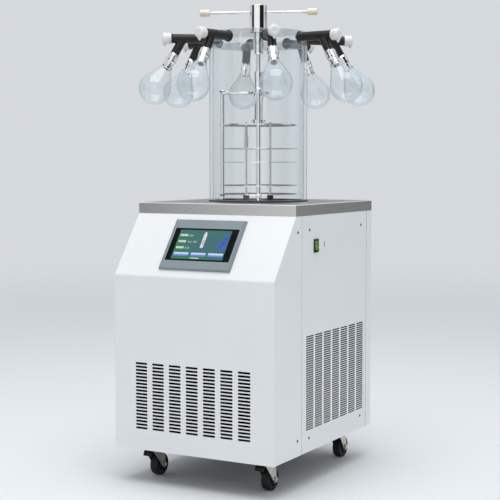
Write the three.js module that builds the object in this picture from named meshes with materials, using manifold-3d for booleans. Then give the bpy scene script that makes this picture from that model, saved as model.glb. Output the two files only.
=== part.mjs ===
// Freeze dryer on casters. A floor cabinet holds the cold trap and its refrigeration. A clear
// chamber with a stoppering rack stands on the worktop, and its lid carries a ring of valves,
// each with a flask. Millimetres: X to the right, Y to the rear, Z up.
import * as THREE from 'three';
import { mergeGeometries, mergeVertices } from 'three/addons/utils/BufferGeometryUtils.js';
import Module from 'manifold-3d';

const wasm = await Module();
wasm.setup();

// ---------------------------------------------------------------- Driving dimensions

// Cabinet
const CABINET_WIDTH = 500;
const CABINET_DEPTH = 619;
const FRONT_HEIGHT = 481; // upright part of the front
const CONSOLE_RISE = 165; // height of the slanted console
const CONSOLE_SETBACK = 122.5; // depth of the slanted console
const WORKTOP_HEIGHT = 30;
const SHEET = 1.5;
const COVER_FOLD = 10; // return flange along each cover's edge
const COVER_SEAM = 0.8; // gap between neighbouring covers
const FRONT_STRIP = 160; // depth of the front cover's cheeks
const REAR_STRIP = 37; // depth of the rear cover's cheeks
const FRAME_BAR = 20; // square bar of the welded chassis
const PAN_THICKNESS = 3;
const SEAT = 0.3; // clearance between pieces that seat on each other

// Louvres: slots in columns, with a plain margin at both sides of the panel and bars between
const FRONT_SLOTS = { columns: 7, rows: 20, margin: 67.8, bar: 17.8, height: 4, pitchUp: 9.4 };
const SIDE_SLOTS = { columns: 7, rows: 12, margin: 23.9, bar: 8.7, height: 5, pitchUp: 22 };
const REAR_SLOTS = { columns: 3, rows: 10, margin: 167, bar: 14, height: 4, pitchUp: 12 };
const FRONT_LOUVRE_RISE = 150; // middle of each louvre above the cabinet's bottom edge
const SIDE_LOUVRE_RISE = 190;
const REAR_LOUVRE_RISE = 330;

// Touch screen on the console
const BEZEL_WIDTH = 222;
const BEZEL_HEIGHT = 161;
const BEZEL_THICKNESS = 7;
const BEZEL_RAISE = 0.75; // middle of the bezel above the middle of the slope
const HOUSING_MARGIN = 14; // how far the bezel reaches past the housing behind it
const HOUSING_DEPTH = 26;
const BEZEL_SIDE = 11; // borders round the glass
const BEZEL_TOP = 26.5;
const BEZEL_BOTTOM = 30.5;
const GLASS_THICKNESS = 1.2;

// Power switch on the right side panel
const SWITCH_WIDTH = 26;
const SWITCH_HEIGHT = 38;
const SWITCH_RIM = 2.5; // thickness of the rim outside the panel
const SWITCH_BODY_MARGIN = 3;
const SWITCH_BODY_DEPTH = 20;
const SWITCH_SETBACK = 242; // from the cabinet's front face
const SWITCH_DROP = 84; // below the worktop's skirt
const ROCKER_SIDE_GAP = 2.5; // between rocker and the outside of the switch's body
const ROCKER_END_GAP = 3;
const ROCKER_THICKNESS = 12;
const ROCKER_TILT = 10; // degrees either side of level

// Casters
const CASTER_HEIGHT = 95;
const CASTER_INSET = 86; // swivel axis from the front and rear faces
const CASTER_SIDE_INSET = 72; // swivel axis from the side faces
const CASTER_TRAIL = 26;
const CASTER_PLATE = 3;
const CASTER_PLATE_WIDTH = 62;
const WHEEL_RADIUS = 31.5;
const WHEEL_WIDTH = 25;
const WHEEL_ROUNDING = 3;
const WHEEL_SIDES = 16;
const FORK_GAP = 1.5; // between wheel and fork cheek
const FORK_CHEEK = 3;
const FORK_HEAD_RADIUS = 22;
const FORK_HEAD_HEIGHT = 8;
const AXLE_RADIUS = 4;
const AXLE_NUT_RADIUS = 8;
const AXLE_NUT_HEIGHT = 5;
const PEDAL_LENGTH = 32;
const PEDAL_THICKNESS = 4;
const PEDAL_PIN_RADIUS = 2;
const PEDAL_PIN_AHEAD = 20; // pedal pin ahead of the swivel axis
const PEDAL_PIN_DROP = 13; // pedal pin below the caster plate

// Cold trap, vacuum line and inlet
const TRAP_EDGE = 5; // mouth's edge inside the circle of the rack's posts
const TRAP_DEPTH = 200;
const TRAP_WALL = 1.5;
const TRAP_FLANGE = 25;
const TRAP_FLANGE_THICKNESS = 2;
const PIPE_RADIUS = 14;
const PIPE_WALL = 1.5;
const PIPE_DROP = 70; // pipe axis below the worktop
const PIPE_REACH = 25; // pipe beyond the rear cover
const PIPE_FLANGE_RADIUS = 20;
const PIPE_FLANGE_THICKNESS = 5;
const INLET_WIDTH = 48;
const INLET_HEIGHT = 28;
const INLET_DEPTH = 24;
const INLET_RIM = 2;
const INLET_RIM_MARGIN = 8;
const INLET_INSET = 100; // middle of the inlet from the left side
const INLET_RISE = 70;

// Refrigeration
const COMPRESSOR_RADIUS = 70;
const COMPRESSOR_HEIGHT = 190;
const COMPRESSOR_FRAME_GAP = 39.7; // foot to the side frame
const COMPRESSOR_FOOT = 150;
const CORE_DEPTH = 40;
const CORE_MARGIN = 46; // core to the seams of the side cover
const CORE_HEIGHT = 250;
const CORE_LEG = 30;
const CORE_FRAME_GAP = 5;
const FAN_TIP_GAP = 12; // blade tip to the motor's bracket
const FAN_HUB_RADIUS = 22;
const FAN_HUB_LENGTH = 20;
const FAN_BLADES = 5;
const FAN_BLADE_CHORD = 56;
const FAN_BLADE_THICKNESS = 2;
const FAN_BLADE_PITCH = 25; // degrees
const FAN_CORE_GAP = 20; // fan's middle plane to the core
const FAN_MOTOR_RADIUS = 32;
const FAN_MOTOR_LENGTH = 36;
const FAN_MOTOR_GAP = 16; // fan's middle plane to the motor
const FAN_SHAFT_RADIUS = 4;
const FAN_BRACKET_WIDTH = 24;
const FAN_BRACKET_THICKNESS = 4;

// Chamber; heights are above the worktop
const CHAMBER_RADIUS = 141;
const CHAMBER_WALL = 9;
const CHAMBER_HEADROOM = 136; // cylinder's top above the rack's yoke
const CHAMBER_SIDES = 36;
const GASKET_HEIGHT = 9;
const GASKET_LIP = 5; // gasket past the outside of the cylinder
const GASKET_INNER_LIP = 2;
const LID_THICKNESS = 40;

// Valves and flasks; distances are out from the chamber's axis or along the leg
const PORTS = 8;
const MANIFOLD_TURN = -7.2; // degrees of the first port from +X
const PORT_RADIUS = 6;
const PORT_DEPTH = 33;
const VALVE_STEM = 10;
const VALVE_FLANGE_RADIUS = 16.5;
const VALVE_FLANGE_THICKNESS = 3.5;
const VALVE_RADIUS = 13;
const VALVE_LENGTH = 110;
const LEG_INSET = 34; // leg from the valve's outer end
const LEG_TILT = 60; // degrees below level
const LEG_RADIUS = 12.5;
const LEG_LENGTH = 55;
const ADAPTER_RADIUS = 14.5;
const ADAPTER_LENGTH = 44;
const PLUG_LENGTH = 10;
const KNOB_RADIUS = 15.5;
const KNOB_LENGTH = 25;
const KNOB_SHAFT_RADIUS = 4.5;
const KNOB_SHAFT_LENGTH = 11;
const KNOB_TAB = 9;
const TURNING_GAP = 0.6; // radial clearance of turning and sliding pieces
const FLASK_NECK_RADIUS = 12;
const FLASK_NECK_LENGTH = 5;
const FLASK_BULB_RADIUS = 45.5;
const FLASK_BULB_AT = 65; // middle of the bulb from the flask's mouth
const FLASK_WALL = 2;
const FLASK_SIDES = 10;

// Stoppering rack and press; heights are above the worktop
const PLATE_GAP = 19; // round plates to the cylinder's inside
const PLATE_SIDES = 28;
const POST_EDGE = 2; // posts to the plates' edge
const POST_RADIUS = 6;
const POST_DIRECTIONS = [-61, -156, 119]; // degrees from +X
const GUIDE_RADIUS = 3.5;
const GUIDE_DIRECTIONS = [99, 139];
const GUIDE_REACH = 15; // guide rods above the press plate's underside
const FOOT_RADIUS = 9.5;
const FOOT_HEIGHT = 15;
const BASE_PLATE_AT = 20;
const SHELF_HEIGHTS = [45, 112, 151];
const SHELF_THICKNESS = 2;
const PRESS_PLATE_GAP = 67; // underside of the press plate above the top shelf's
const PRESS_PLATE_THICKNESS = 4;
const PRESS_COLLAR_RADIUS = 20.5;
const PRESS_COLLAR_HEIGHT = 14;
const THRUST_RADIUS = 13;
const THRUST_HEIGHT = 47;
const THRUST_PIN_RADIUS = 5;
const THRUST_PIN_LENGTH = 8;
const YOKE_NUT_GAP = 0.7; // nut above the thrust end
const YOKE_THICKNESS = 6.5;
const YOKE_RADIUS = 30;
const YOKE_ARM = 24;
const YOKE_NUT_HEIGHT = 25;
const YOKE_NUT_RADII = [12, 17]; // lower and upper end
const CAP_NUT_RADIUS = 9;
const CAP_NUT_HEIGHT = 7;
const SCREW_RADIUS = 6.5;
const SLEEVE_RADIUS = 13;
const SLEEVE_HEIGHT = 50;
const SLEEVE_ROOF = 3;
const SLEEVE_YOKE_GAP = 8;
const COLLAR_RADIUS = 13.5;
const COLLAR_HEIGHT = 20;
const HUB_RADIUS = 25;
const HUB_HEIGHT = 79;
const HUB_ROUNDING = 3;
const BAR_RADIUS = 4;
const BAR_LENGTH = 340;
const BAR_RISE = 58; // bar above the lid
const BAR_DIRECTION = 22; // degrees from +X
const BAR_CAP_RADIUS = 10;
const BAR_CAP_LENGTH = 28;

// ---------------------------------------------------------------- Derived places

const halfWidth = CABINET_WIDTH / 2;
const cabinetBottom = CASTER_HEIGHT;
const consoleBottom = cabinetBottom + FRONT_HEIGHT;
const skirtBottom = consoleBottom + CONSOLE_RISE;
const worktopTop = skirtBottom + WORKTOP_HEIGHT;
const coverTop = skirtBottom - SEAT;
const panTop = cabinetBottom + PAN_THICKNESS;
const consoleAngle = Math.atan2(CONSOLE_RISE, CONSOLE_SETBACK);
const frameSide = halfWidth - COVER_FOLD - SEAT;
const frameFront = SHEET + SEAT;
const frameRear = CABINET_DEPTH - SHEET - SEAT;
const frameTop = worktopTop - SHEET - SEAT;
const frontSeam = FRONT_STRIP;
const rearSeam = CABINET_DEPTH - REAR_STRIP;
const chamberY = (CONSOLE_SETBACK + CABINET_DEPTH) / 2;
const sidePanelDepth = rearSeam - frontSeam;
const sideLouvreY = (frontSeam + rearSeam) / 2;
const sideLouvreZ = cabinetBottom + SIDE_LOUVRE_RISE;
const pipeZ = worktopTop - PIPE_DROP;
const cylinderInside = CHAMBER_RADIUS - CHAMBER_WALL;
const plateRadius = cylinderInside - PLATE_GAP;
const postCircle = plateRadius - POST_EDGE - POST_RADIUS;
const trapRadius = postCircle - TRAP_EDGE;
const pressPlateAt = SHELF_HEIGHTS[SHELF_HEIGHTS.length - 1] + PRESS_PLATE_GAP;
const pressCollarTop = pressPlateAt + PRESS_PLATE_THICKNESS + PRESS_COLLAR_HEIGHT;
const thrustBottom = pressCollarTop + SEAT;
const thrustTop = thrustBottom + THRUST_HEIGHT;
const yokeAt = thrustTop + YOKE_NUT_GAP + YOKE_NUT_HEIGHT;
const sleeveBottom = yokeAt + YOKE_THICKNESS + SLEEVE_YOKE_GAP;
const sleeveTop = sleeveBottom + SLEEVE_HEIGHT;
const chamberTop = yokeAt + CHAMBER_HEADROOM;
const lidBottom = chamberTop + SEAT;
const lidTop = chamberTop + LID_THICKNESS;
const valveStart = CHAMBER_RADIUS + SEAT;

// ---------------------------------------------------------------- Shapes

const degrees = (angle) => THREE.MathUtils.degToRad(angle);

function box([x0, x1], [y0, y1], [z0, z1]) {
  const shape = new THREE.BoxGeometry(x1 - x0, y1 - y0, z1 - z0);
  return shape.translate((x0 + x1) / 2, (y0 + y1) / 2, (z0 + z1) / 2);
}

// Two ends of a length about its middle
function centred(width, middle = 0) {
  return [middle - width / 2, middle + width / 2];
}

// Round bar along Z
function rod(radius, low, high, sides = 12) {
  const shape = new THREE.CylinderGeometry(radius, radius, high - low, sides);
  return shape.rotateX(Math.PI / 2).translate(0, 0, (low + high) / 2);
}

// Solid of revolution about Z. The profile is a list of [radius, height], counter-clockwise.
function turned(profile, sides) {
  const points = profile.map(([radius, height]) => new THREE.Vector2(radius, height));
  return new THREE.LatheGeometry(points, sides).rotateX(Math.PI / 2);
}

// Turns a shape from Z to X, or from Z to Y
function alongX(shape) {
  return shape.rotateY(Math.PI / 2);
}

function alongY(shape) {
  return shape.rotateX(-Math.PI / 2);
}

function ring(inner, outer, low, high, sides) {
  return turned([[inner, low], [outer, low], [outer, high], [inner, high], [inner, low]], sides);
}

// Prism along Z on an outline of [x, y]
function prism(outline, low, high) {
  const shape = new THREE.Shape(outline.map(([x, y]) => new THREE.Vector2(x, y)));
  return new THREE.ExtrudeGeometry(shape, { depth: high - low, bevelEnabled: false }).translate(0, 0, low);
}

// Prism along X on an outline of [y, z]
function prismAlongX(outline, low, high) {
  const turn = new THREE.Matrix4().makeBasis(
    new THREE.Vector3(0, 1, 0),
    new THREE.Vector3(0, 0, 1),
    new THREE.Vector3(1, 0, 0),
  );
  return prism(outline, low, high).applyMatrix4(turn);
}

function circle(radius, sides) {
  const points = [];
  for (let step = 0; step < sides; step += 1) {
    const angle = (2 * Math.PI * step) / sides;
    points.push([radius * Math.cos(angle), radius * Math.sin(angle)]);
  }
  return points;
}

function onCircle(radius, direction) {
  return [radius * Math.cos(degrees(direction)), radius * Math.sin(degrees(direction))];
}

// ---------------------------------------------------------------- Joins and cuts

function toSolid(shape) {
  const bare = shape.clone();
  bare.deleteAttribute('normal');
  bare.deleteAttribute('uv');
  const merged = mergeVertices(bare);
  const corners = merged.index.array;
  const triangles = [];
  for (let i = 0; i < corners.length; i += 3) {
    const [a, b, c] = [corners[i], corners[i + 1], corners[i + 2]];
    if (a !== b && b !== c && c !== a) triangles.push(a, b, c);
  }
  const vertProperties = new Float32Array(merged.attributes.position.array);
  const triVerts = new Uint32Array(triangles);
  return new wasm.Manifold(new wasm.Mesh({ numProp: 3, vertProperties, triVerts }));
}

function toShape(solid) {
  const mesh = solid.getMesh();
  const shape = new THREE.BufferGeometry();
  shape.setAttribute('position', new THREE.BufferAttribute(mesh.vertProperties, 3));
  shape.setIndex(new THREE.BufferAttribute(mesh.triVerts, 1));
  return shape;
}

function join(first, ...others) {
  let solid = toSolid(first);
  for (const other of others) solid = solid.add(toSolid(other));
  return toShape(solid);
}

function cut(shape, ...tools) {
  let solid = toSolid(shape);
  for (const tool of tools) solid = solid.subtract(toSolid(tool));
  return toShape(solid);
}

// ---------------------------------------------------------------- Scene graph

const dryer = new THREE.Group();

function addPiece(parent, name, shape, [color, roughness, metalness], extra = {}) {
  const finish = { color, roughness, metalness, flatShading: true, ...extra };
  const piece = new THREE.Mesh(shape, new THREE.MeshStandardMaterial(finish));
  piece.name = name;
  parent.add(piece);
}

const PAINT = [0xd6d9db, 0.5, 0];
const GALVANISED = [0x9aa0a3, 0.5, 0.8];
const STAINLESS = [0xb4b6b6, 0.3, 1];
const CHROME = [0xd8dadb, 0.12, 1];
const ZINC = [0xa9a69c, 0.4, 0.9];
const GREY_PLASTIC = [0x8f9296, 0.45, 0];
const BLACK_PLASTIC = [0x1b1c1e, 0.5, 0];
const BLACK_RUBBER = [0x17171a, 0.75, 0];
const WHITE_PLASTIC = [0xe6e4dc, 0.4, 0];
const GREEN_PLASTIC = [0x2f9a4c, 0.35, 0];
const SCREEN = [0x1d6f78, 0.15, 0];
const COPPER_FIN = [0x8e8f90, 0.45, 0.9];
const CLEAR = { transparent: true, opacity: 0.3 };

// ---------------------------------------------------------------- Cabinet

// Line of the console's inner side at a distance behind its outer face
function consoleLine(distance) {
  const slope = CONSOLE_RISE / CONSOLE_SETBACK;
  const bend = distance * Math.tan(consoleAngle / 2 - Math.PI / 4);
  const cornerZ = consoleBottom + bend;
  return { cornerZ, heightAt: (y) => cornerZ + (y - distance) * slope };
}

function sideFrame(side) {
  const line = consoleLine(SHEET + SEAT);
  const topFront = CONSOLE_SETBACK + SHEET + SEAT;
  const outline = [
    [frameFront, cabinetBottom],
    [frameFront, line.cornerZ],
    [topFront, line.heightAt(topFront)],
    [topFront, frameTop],
    [frameRear, frameTop],
    [frameRear, cabinetBottom],
  ];
  const low = panTop + FRAME_BAR;
  const high = frameTop - FRAME_BAR;
  const drop = FRAME_BAR / Math.cos(consoleAngle);
  const frontBay = [
    [frameFront + FRAME_BAR, low],
    [frontSeam - FRAME_BAR / 2, low],
    [frontSeam - FRAME_BAR / 2, Math.min(high, line.heightAt(frontSeam - FRAME_BAR / 2) - drop)],
    [frameFront + FRAME_BAR, line.heightAt(frameFront + FRAME_BAR) - drop],
  ];
  const mainBay = [
    [frontSeam + FRAME_BAR / 2, low],
    [rearSeam - FRAME_BAR / 2, low],
    [rearSeam - FRAME_BAR / 2, high],
    [frontSeam + FRAME_BAR / 2, high],
  ];
  const [x0, x1] = side > 0 ? [frameSide - FRAME_BAR, frameSide] : [-frameSide, -frameSide + FRAME_BAR];
  return cut(
    prismAlongX(outline, x0, x1),
    prismAlongX(frontBay, x0 - 1, x1 + 1),
    prismAlongX(mainBay, x0 - 1, x1 + 1),
  );
}

const casterPlaces = [];
const casterSpread = halfWidth - CASTER_SIDE_INSET;
for (const [row, y] of [['front', CASTER_INSET], ['rear', CABINET_DEPTH - CASTER_INSET]]) {
  casterPlaces.push({ name: `${row}_left`, x: -casterSpread, y, braked: row === 'front' });
  casterPlaces.push({ name: `${row}_right`, x: casterSpread, y, braked: row === 'front' });
}

function chassis() {
  const across = [-frameSide, frameSide];
  const barHeights = [frameTop - FRAME_BAR, frameTop];
  const frontBar = CONSOLE_SETBACK + SHEET + SEAT;
  const pieces = [
    sideFrame(1),
    sideFrame(-1),
    box(across, [frontBar, frontBar + FRAME_BAR], barHeights),
    box(across, [frameRear - FRAME_BAR, frameRear], barHeights),
  ];
  for (const { x, y } of casterPlaces) {
    const heights = [cabinetBottom - CASTER_PLATE, cabinetBottom + 1];
    pieces.push(box(centred(CASTER_PLATE_WIDTH, x), centred(CASTER_PLATE_WIDTH, y), heights));
  }
  return join(box(across, [frameFront, frameRear], [cabinetBottom, panTop]), ...pieces);
}

// Boxes for the slots of a louvre across a panel in the XZ plane, centred on the origin
function louvre(panelWidth, { columns, rows, margin, bar, height, pitchUp }) {
  const width = (panelWidth - 2 * margin - (columns - 1) * bar) / columns;
  const slots = [];
  for (let column = 0; column < columns; column += 1) {
    for (let row = 0; row < rows; row += 1) {
      const x = (column - (columns - 1) / 2) * (width + bar);
      const z = (row - (rows - 1) / 2) * pitchUp;
      slots.push(box(centred(width, x), centred(4 * SHEET), centred(height, z)));
    }
  }
  return mergeGeometries(slots);
}

// The console's own axes: X to the right, Y up the slope, Z out of the panel
const consoleFrame = new THREE.Group();
consoleFrame.position.set(0, 0, consoleBottom);
consoleFrame.rotation.x = consoleAngle;
consoleFrame.updateMatrix();
dryer.add(consoleFrame);

const bezelCentre = Math.hypot(CONSOLE_RISE, CONSOLE_SETBACK) / 2 + BEZEL_RAISE;
const housingWidth = BEZEL_WIDTH - 2 * HOUSING_MARGIN;
const housingHeight = BEZEL_HEIGHT - 2 * HOUSING_MARGIN;
const glassWidth = BEZEL_WIDTH - 2 * BEZEL_SIDE;
const glassHeight = BEZEL_HEIGHT - BEZEL_TOP - BEZEL_BOTTOM;
const glassCentre = bezelCentre + (BEZEL_BOTTOM - BEZEL_TOP) / 2;

function frontCover() {
  const cheekEnd = frontSeam - COVER_SEAM / 2;
  const outside = [
    [0, cabinetBottom],
    [0, consoleBottom],
    [CONSOLE_SETBACK - (SEAT * CONSOLE_SETBACK) / CONSOLE_RISE, coverTop],
    [cheekEnd, coverTop],
    [cheekEnd, cabinetBottom],
  ];
  const line = consoleLine(SHEET);
  const above = coverTop + SHEET;
  const slantEnd = SHEET + ((above - line.cornerZ) * CONSOLE_SETBACK) / CONSOLE_RISE;
  const inside = [
    [SHEET, cabinetBottom - SHEET],
    [SHEET, line.cornerZ],
    [slantEnd, above],
    [cheekEnd + SHEET, above],
    [cheekEnd + SHEET, cabinetBottom - SHEET],
  ];
  const shell = cut(
    prismAlongX(outside, -halfWidth, halfWidth),
    prismAlongX(inside, -halfWidth + SHEET, halfWidth - SHEET),
  );
  const flangeDepth = [cheekEnd - SHEET, cheekEnd];
  const flangeHeight = [cabinetBottom, coverTop];
  const folded = join(
    shell,
    box([halfWidth - COVER_FOLD, halfWidth - SHEET / 2], flangeDepth, flangeHeight),
    box([-halfWidth + SHEET / 2, -halfWidth + COVER_FOLD], flangeDepth, flangeHeight),
  );
  const screenHole = box(
    centred(housingWidth + 2 * SEAT),
    centred(housingHeight + 2 * SEAT, bezelCentre),
    [-SHEET * 4, SHEET * 4],
  ).applyMatrix4(consoleFrame.matrix);
  const slots = louvre(CABINET_WIDTH, FRONT_SLOTS).translate(0, 0, cabinetBottom + FRONT_LOUVRE_RISE);
  return cut(folded, screenHole, slots);
}

// Flat side cover with a return flange along its front and rear edges
function sideCover(side) {
  const front = frontSeam + COVER_SEAM / 2;
  const rear = rearSeam - COVER_SEAM / 2;
  const outline = [
    [side * halfWidth, front],
    [side * halfWidth, rear],
    [side * (halfWidth - COVER_FOLD), rear],
    [side * (halfWidth - COVER_FOLD), rear - SHEET],
    [side * (halfWidth - SHEET), rear - SHEET],
    [side * (halfWidth - SHEET), front + SHEET],
    [side * (halfWidth - COVER_FOLD), front + SHEET],
    [side * (halfWidth - COVER_FOLD), front],
  ];
  return prism(outline, cabinetBottom, coverTop);
}

const switchZ = skirtBottom - SWITCH_DROP;

function rightSideCover() {
  const slots = louvre(sidePanelDepth, SIDE_SLOTS).rotateZ(Math.PI / 2);
  const switchHole = box(
    [halfWidth - SHEET * 2, halfWidth + SHEET],
    centred(SWITCH_WIDTH - 2 * SWITCH_BODY_MARGIN + 2 * SEAT, SWITCH_SETBACK),
    centred(SWITCH_HEIGHT - 2 * SWITCH_BODY_MARGIN + 2 * SEAT, switchZ),
  );
  return cut(sideCover(1), slots.translate(halfWidth, sideLouvreY, sideLouvreZ), switchHole);
}

const inletX = INLET_INSET - halfWidth;
const inletZ = cabinetBottom + INLET_RISE;

function rearCover() {
  const front = rearSeam + COVER_SEAM / 2;
  const leftHalf = [
    [0, CABINET_DEPTH],
    [-halfWidth, CABINET_DEPTH],
    [-halfWidth, front],
    [-halfWidth + COVER_FOLD, front],
    [-halfWidth + COVER_FOLD, front + SHEET],
    [-halfWidth + SHEET, front + SHEET],
    [-halfWidth + SHEET, CABINET_DEPTH - SHEET],
  ];
  const rightHalf = leftHalf.slice(1).reverse().map(([x, y]) => [-x, y]);
  const sheet = prism([...leftHalf, ...rightHalf], cabinetBottom, coverTop);
  const louvreZ = cabinetBottom + REAR_LOUVRE_RISE;
  const slots = louvre(CABINET_WIDTH, REAR_SLOTS).translate(0, CABINET_DEPTH, louvreZ);
  const pipeHole = rod(PIPE_RADIUS + TURNING_GAP, -SHEET * 2, SHEET * 2)
    .rotateX(Math.PI / 2)
    .translate(0, CABINET_DEPTH, pipeZ);
  const inletHole = box(
    centred(INLET_WIDTH + 2 * SEAT, inletX),
    [CABINET_DEPTH - SHEET * 2, CABINET_DEPTH + SHEET],
    centred(INLET_HEIGHT + 2 * SEAT, inletZ),
  );
  return cut(sheet, slots, pipeHole, inletHole);
}

function worktop() {
  const inside = box(
    [-halfWidth + SHEET, halfWidth - SHEET],
    [CONSOLE_SETBACK + SHEET, CABINET_DEPTH - SHEET],
    [skirtBottom - SHEET, worktopTop - SHEET],
  );
  const mouth = rod(trapRadius, worktopTop - 2 * SHEET, worktopTop + SHEET, CHAMBER_SIDES);
  const block = box([-halfWidth, halfWidth], [CONSOLE_SETBACK, CABINET_DEPTH], [skirtBottom, worktopTop]);
  return cut(block, inside, mouth.translate(0, chamberY, 0));
}

function screenBezel() {
  const rim = box(centred(BEZEL_WIDTH), centred(BEZEL_HEIGHT, bezelCentre), [SEAT, SEAT + BEZEL_THICKNESS]);
  const housingDepth = [-HOUSING_DEPTH, SEAT + 1];
  const housing = box(centred(housingWidth), centred(housingHeight, bezelCentre), housingDepth);
  const pocket = box(
    centred(glassWidth + 2 * SEAT),
    centred(glassHeight + 2 * SEAT, glassCentre),
    [BEZEL_THICKNESS - GLASS_THICKNESS, 2 * BEZEL_THICKNESS],
  );
  return cut(join(rim, housing), pocket);
}

function screenGlass() {
  const back = BEZEL_THICKNESS - GLASS_THICKNESS + SEAT;
  return box(
    centred(glassWidth),
    centred(glassHeight, glassCentre),
    [back, back + GLASS_THICKNESS - SEAT],
  );
}

addPiece(dryer, 'chassis', chassis(), GALVANISED);
addPiece(dryer, 'front_cover', frontCover(), PAINT);
addPiece(dryer, 'right_side_cover', rightSideCover(), PAINT);
addPiece(dryer, 'left_side_cover', sideCover(-1), PAINT);
addPiece(dryer, 'rear_cover', rearCover(), PAINT);
addPiece(dryer, 'worktop', worktop(), STAINLESS);
addPiece(consoleFrame, 'screen_bezel', screenBezel(), GREY_PLASTIC);
addPiece(consoleFrame, 'screen_glass', screenGlass(), SCREEN);

// ---------------------------------------------------------------- Power switch

// The switch's own axes: X out of the panel, Y and Z along it
const switchPlace = new THREE.Group();
switchPlace.position.set(halfWidth, SWITCH_SETBACK, switchZ);
dryer.add(switchPlace);

const switchBodyWidth = SWITCH_WIDTH - 2 * SWITCH_BODY_MARGIN;
const switchBodyHeight = SWITCH_HEIGHT - 2 * SWITCH_BODY_MARGIN;
const rockerWidth = switchBodyWidth - 2 * ROCKER_SIDE_GAP;
const rockerHeight = switchBodyHeight - 2 * ROCKER_END_GAP;

function switchFrame() {
  const rim = box([SEAT, SEAT + SWITCH_RIM], centred(SWITCH_WIDTH), centred(SWITCH_HEIGHT));
  const body = box([-SWITCH_BODY_DEPTH, SEAT + 1], centred(switchBodyWidth), centred(switchBodyHeight));
  const pocket = box(
    [-SWITCH_BODY_DEPTH + SHEET, 2 * SWITCH_RIM],
    centred(rockerWidth + 2 * SEAT),
    centred(rockerHeight + 2 * SWITCH_RIM),
  );
  return cut(join(rim, body), pocket);
}

// Rocker with a shallow valley across its face, for a pivot along Y
function switchRocker() {
  const face = SEAT + SWITCH_RIM + 2;
  const half = rockerHeight / 2;
  const outline = [
    [-half * 0.7, face - ROCKER_THICKNESS],
    [half * 0.7, face - ROCKER_THICKNESS],
    [half, face],
    [0, face - 2],
    [-half, face],
  ];
  return prism(outline, -rockerWidth / 2, rockerWidth / 2)
    .rotateX(Math.PI / 2)
    .rotateY(Math.PI / 2);
}

addPiece(switchPlace, 'switch_frame', switchFrame(), BLACK_PLASTIC);
const rockerPlace = new THREE.Group();
rockerPlace.rotation.y = -degrees(ROCKER_TILT);
switchPlace.add(rockerPlace);
addPiece(rockerPlace, 'switch_rocker', switchRocker(), GREEN_PLASTIC);

// ---------------------------------------------------------------- Casters

const wheelZ = WHEEL_RADIUS;
const forkInside = WHEEL_WIDTH / 2 + FORK_GAP;
const forkOutside = forkInside + FORK_CHEEK;
const headTop = CASTER_HEIGHT - CASTER_PLATE - SEAT;
const headBottom = headTop - FORK_HEAD_HEIGHT;
const pedalPinZ = CASTER_HEIGHT - CASTER_PLATE - PEDAL_PIN_DROP;

// Round bar across the caster
function axle(radius, reach) {
  return alongX(rod(radius, -reach, reach, 8));
}

// Fork about its swivel axis; the wheel trails to the rear
function casterFork(braked) {
  const crownRear = FORK_HEAD_RADIUS + CASTER_TRAIL / 4;
  const crownFront = braked ? -PEDAL_PIN_AHEAD - 2 * PEDAL_PIN_RADIUS : -FORK_HEAD_RADIUS * 0.7;
  const crownLow = headBottom - 2 * FORK_CHEEK;
  const cheek = [
    [crownFront, headBottom],
    [crownFront, crownLow],
    [CASTER_TRAIL - AXLE_NUT_RADIUS, wheelZ - AXLE_NUT_RADIUS / 2],
    [CASTER_TRAIL, wheelZ - AXLE_NUT_RADIUS],
    [CASTER_TRAIL + AXLE_NUT_RADIUS, wheelZ - AXLE_NUT_RADIUS / 2],
    [crownRear, crownLow],
    [crownRear, headBottom],
  ];
  const crownDepth = [-FORK_HEAD_RADIUS * 0.7, crownRear];
  const pieces = [
    box(centred(2 * forkOutside), crownDepth, [headBottom - FORK_CHEEK, headBottom + 1]),
    prismAlongX(cheek, forkInside, forkOutside),
    prismAlongX(cheek, -forkOutside, -forkInside),
    axle(AXLE_RADIUS, forkOutside + 1).translate(0, CASTER_TRAIL, wheelZ),
  ];
  for (const side of [-1, 1]) {
    const nut = rod(AXLE_NUT_RADIUS, 0, AXLE_NUT_HEIGHT, 6).rotateY((side * Math.PI) / 2);
    pieces.push(nut.translate(side * (forkOutside - 1), CASTER_TRAIL, wheelZ));
  }
  const pin = axle(PEDAL_PIN_RADIUS, forkInside + 1).translate(0, -PEDAL_PIN_AHEAD, pedalPinZ);
  if (braked) pieces.push(pin);
  return join(rod(FORK_HEAD_RADIUS, headBottom, headTop), ...pieces);
}

// Wheel with the middle of one of its flats on the floor
function casterWheel() {
  const half = WHEEL_WIDTH / 2;
  const bore = AXLE_RADIUS + TURNING_GAP;
  const tread = WHEEL_RADIUS / Math.cos(Math.PI / WHEEL_SIDES);
  const profile = [
    [bore, -half],
    [tread - WHEEL_ROUNDING, -half],
    [tread, -half + WHEEL_ROUNDING],
    [tread, half - WHEEL_ROUNDING],
    [tread - WHEEL_ROUNDING, half],
    [bore, half],
    [bore, -half],
  ];
  const wheel = turned(profile, WHEEL_SIDES).rotateZ(Math.PI / WHEEL_SIDES);
  return alongX(wheel).translate(0, CASTER_TRAIL, wheelZ);
}

// Foot pedal on its pin, sloping up to the front
function brakePedal() {
  const hub = PEDAL_PIN_RADIUS + PEDAL_THICKNESS / 2 + TURNING_GAP;
  const half = forkInside - SEAT;
  const barrel = axle(hub, half);
  const tread = box([-half, half], [-PEDAL_LENGTH, 0], [-PEDAL_THICKNESS / 2, PEDAL_THICKNESS / 2]);
  const bore = axle(PEDAL_PIN_RADIUS + TURNING_GAP, half + 1);
  return cut(join(barrel, tread), bore).translate(0, -PEDAL_PIN_AHEAD, pedalPinZ);
}

for (const { name, x, y, braked } of casterPlaces) {
  const caster = new THREE.Group();
  caster.position.set(x, y, 0);
  dryer.add(caster);
  addPiece(caster, `caster_fork_${name}`, casterFork(braked), ZINC);
  addPiece(caster, `caster_wheel_${name}`, casterWheel(), BLACK_RUBBER);
  if (braked) addPiece(caster, `brake_pedal_${name}`, brakePedal(), BLACK_PLASTIC);
}

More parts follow.
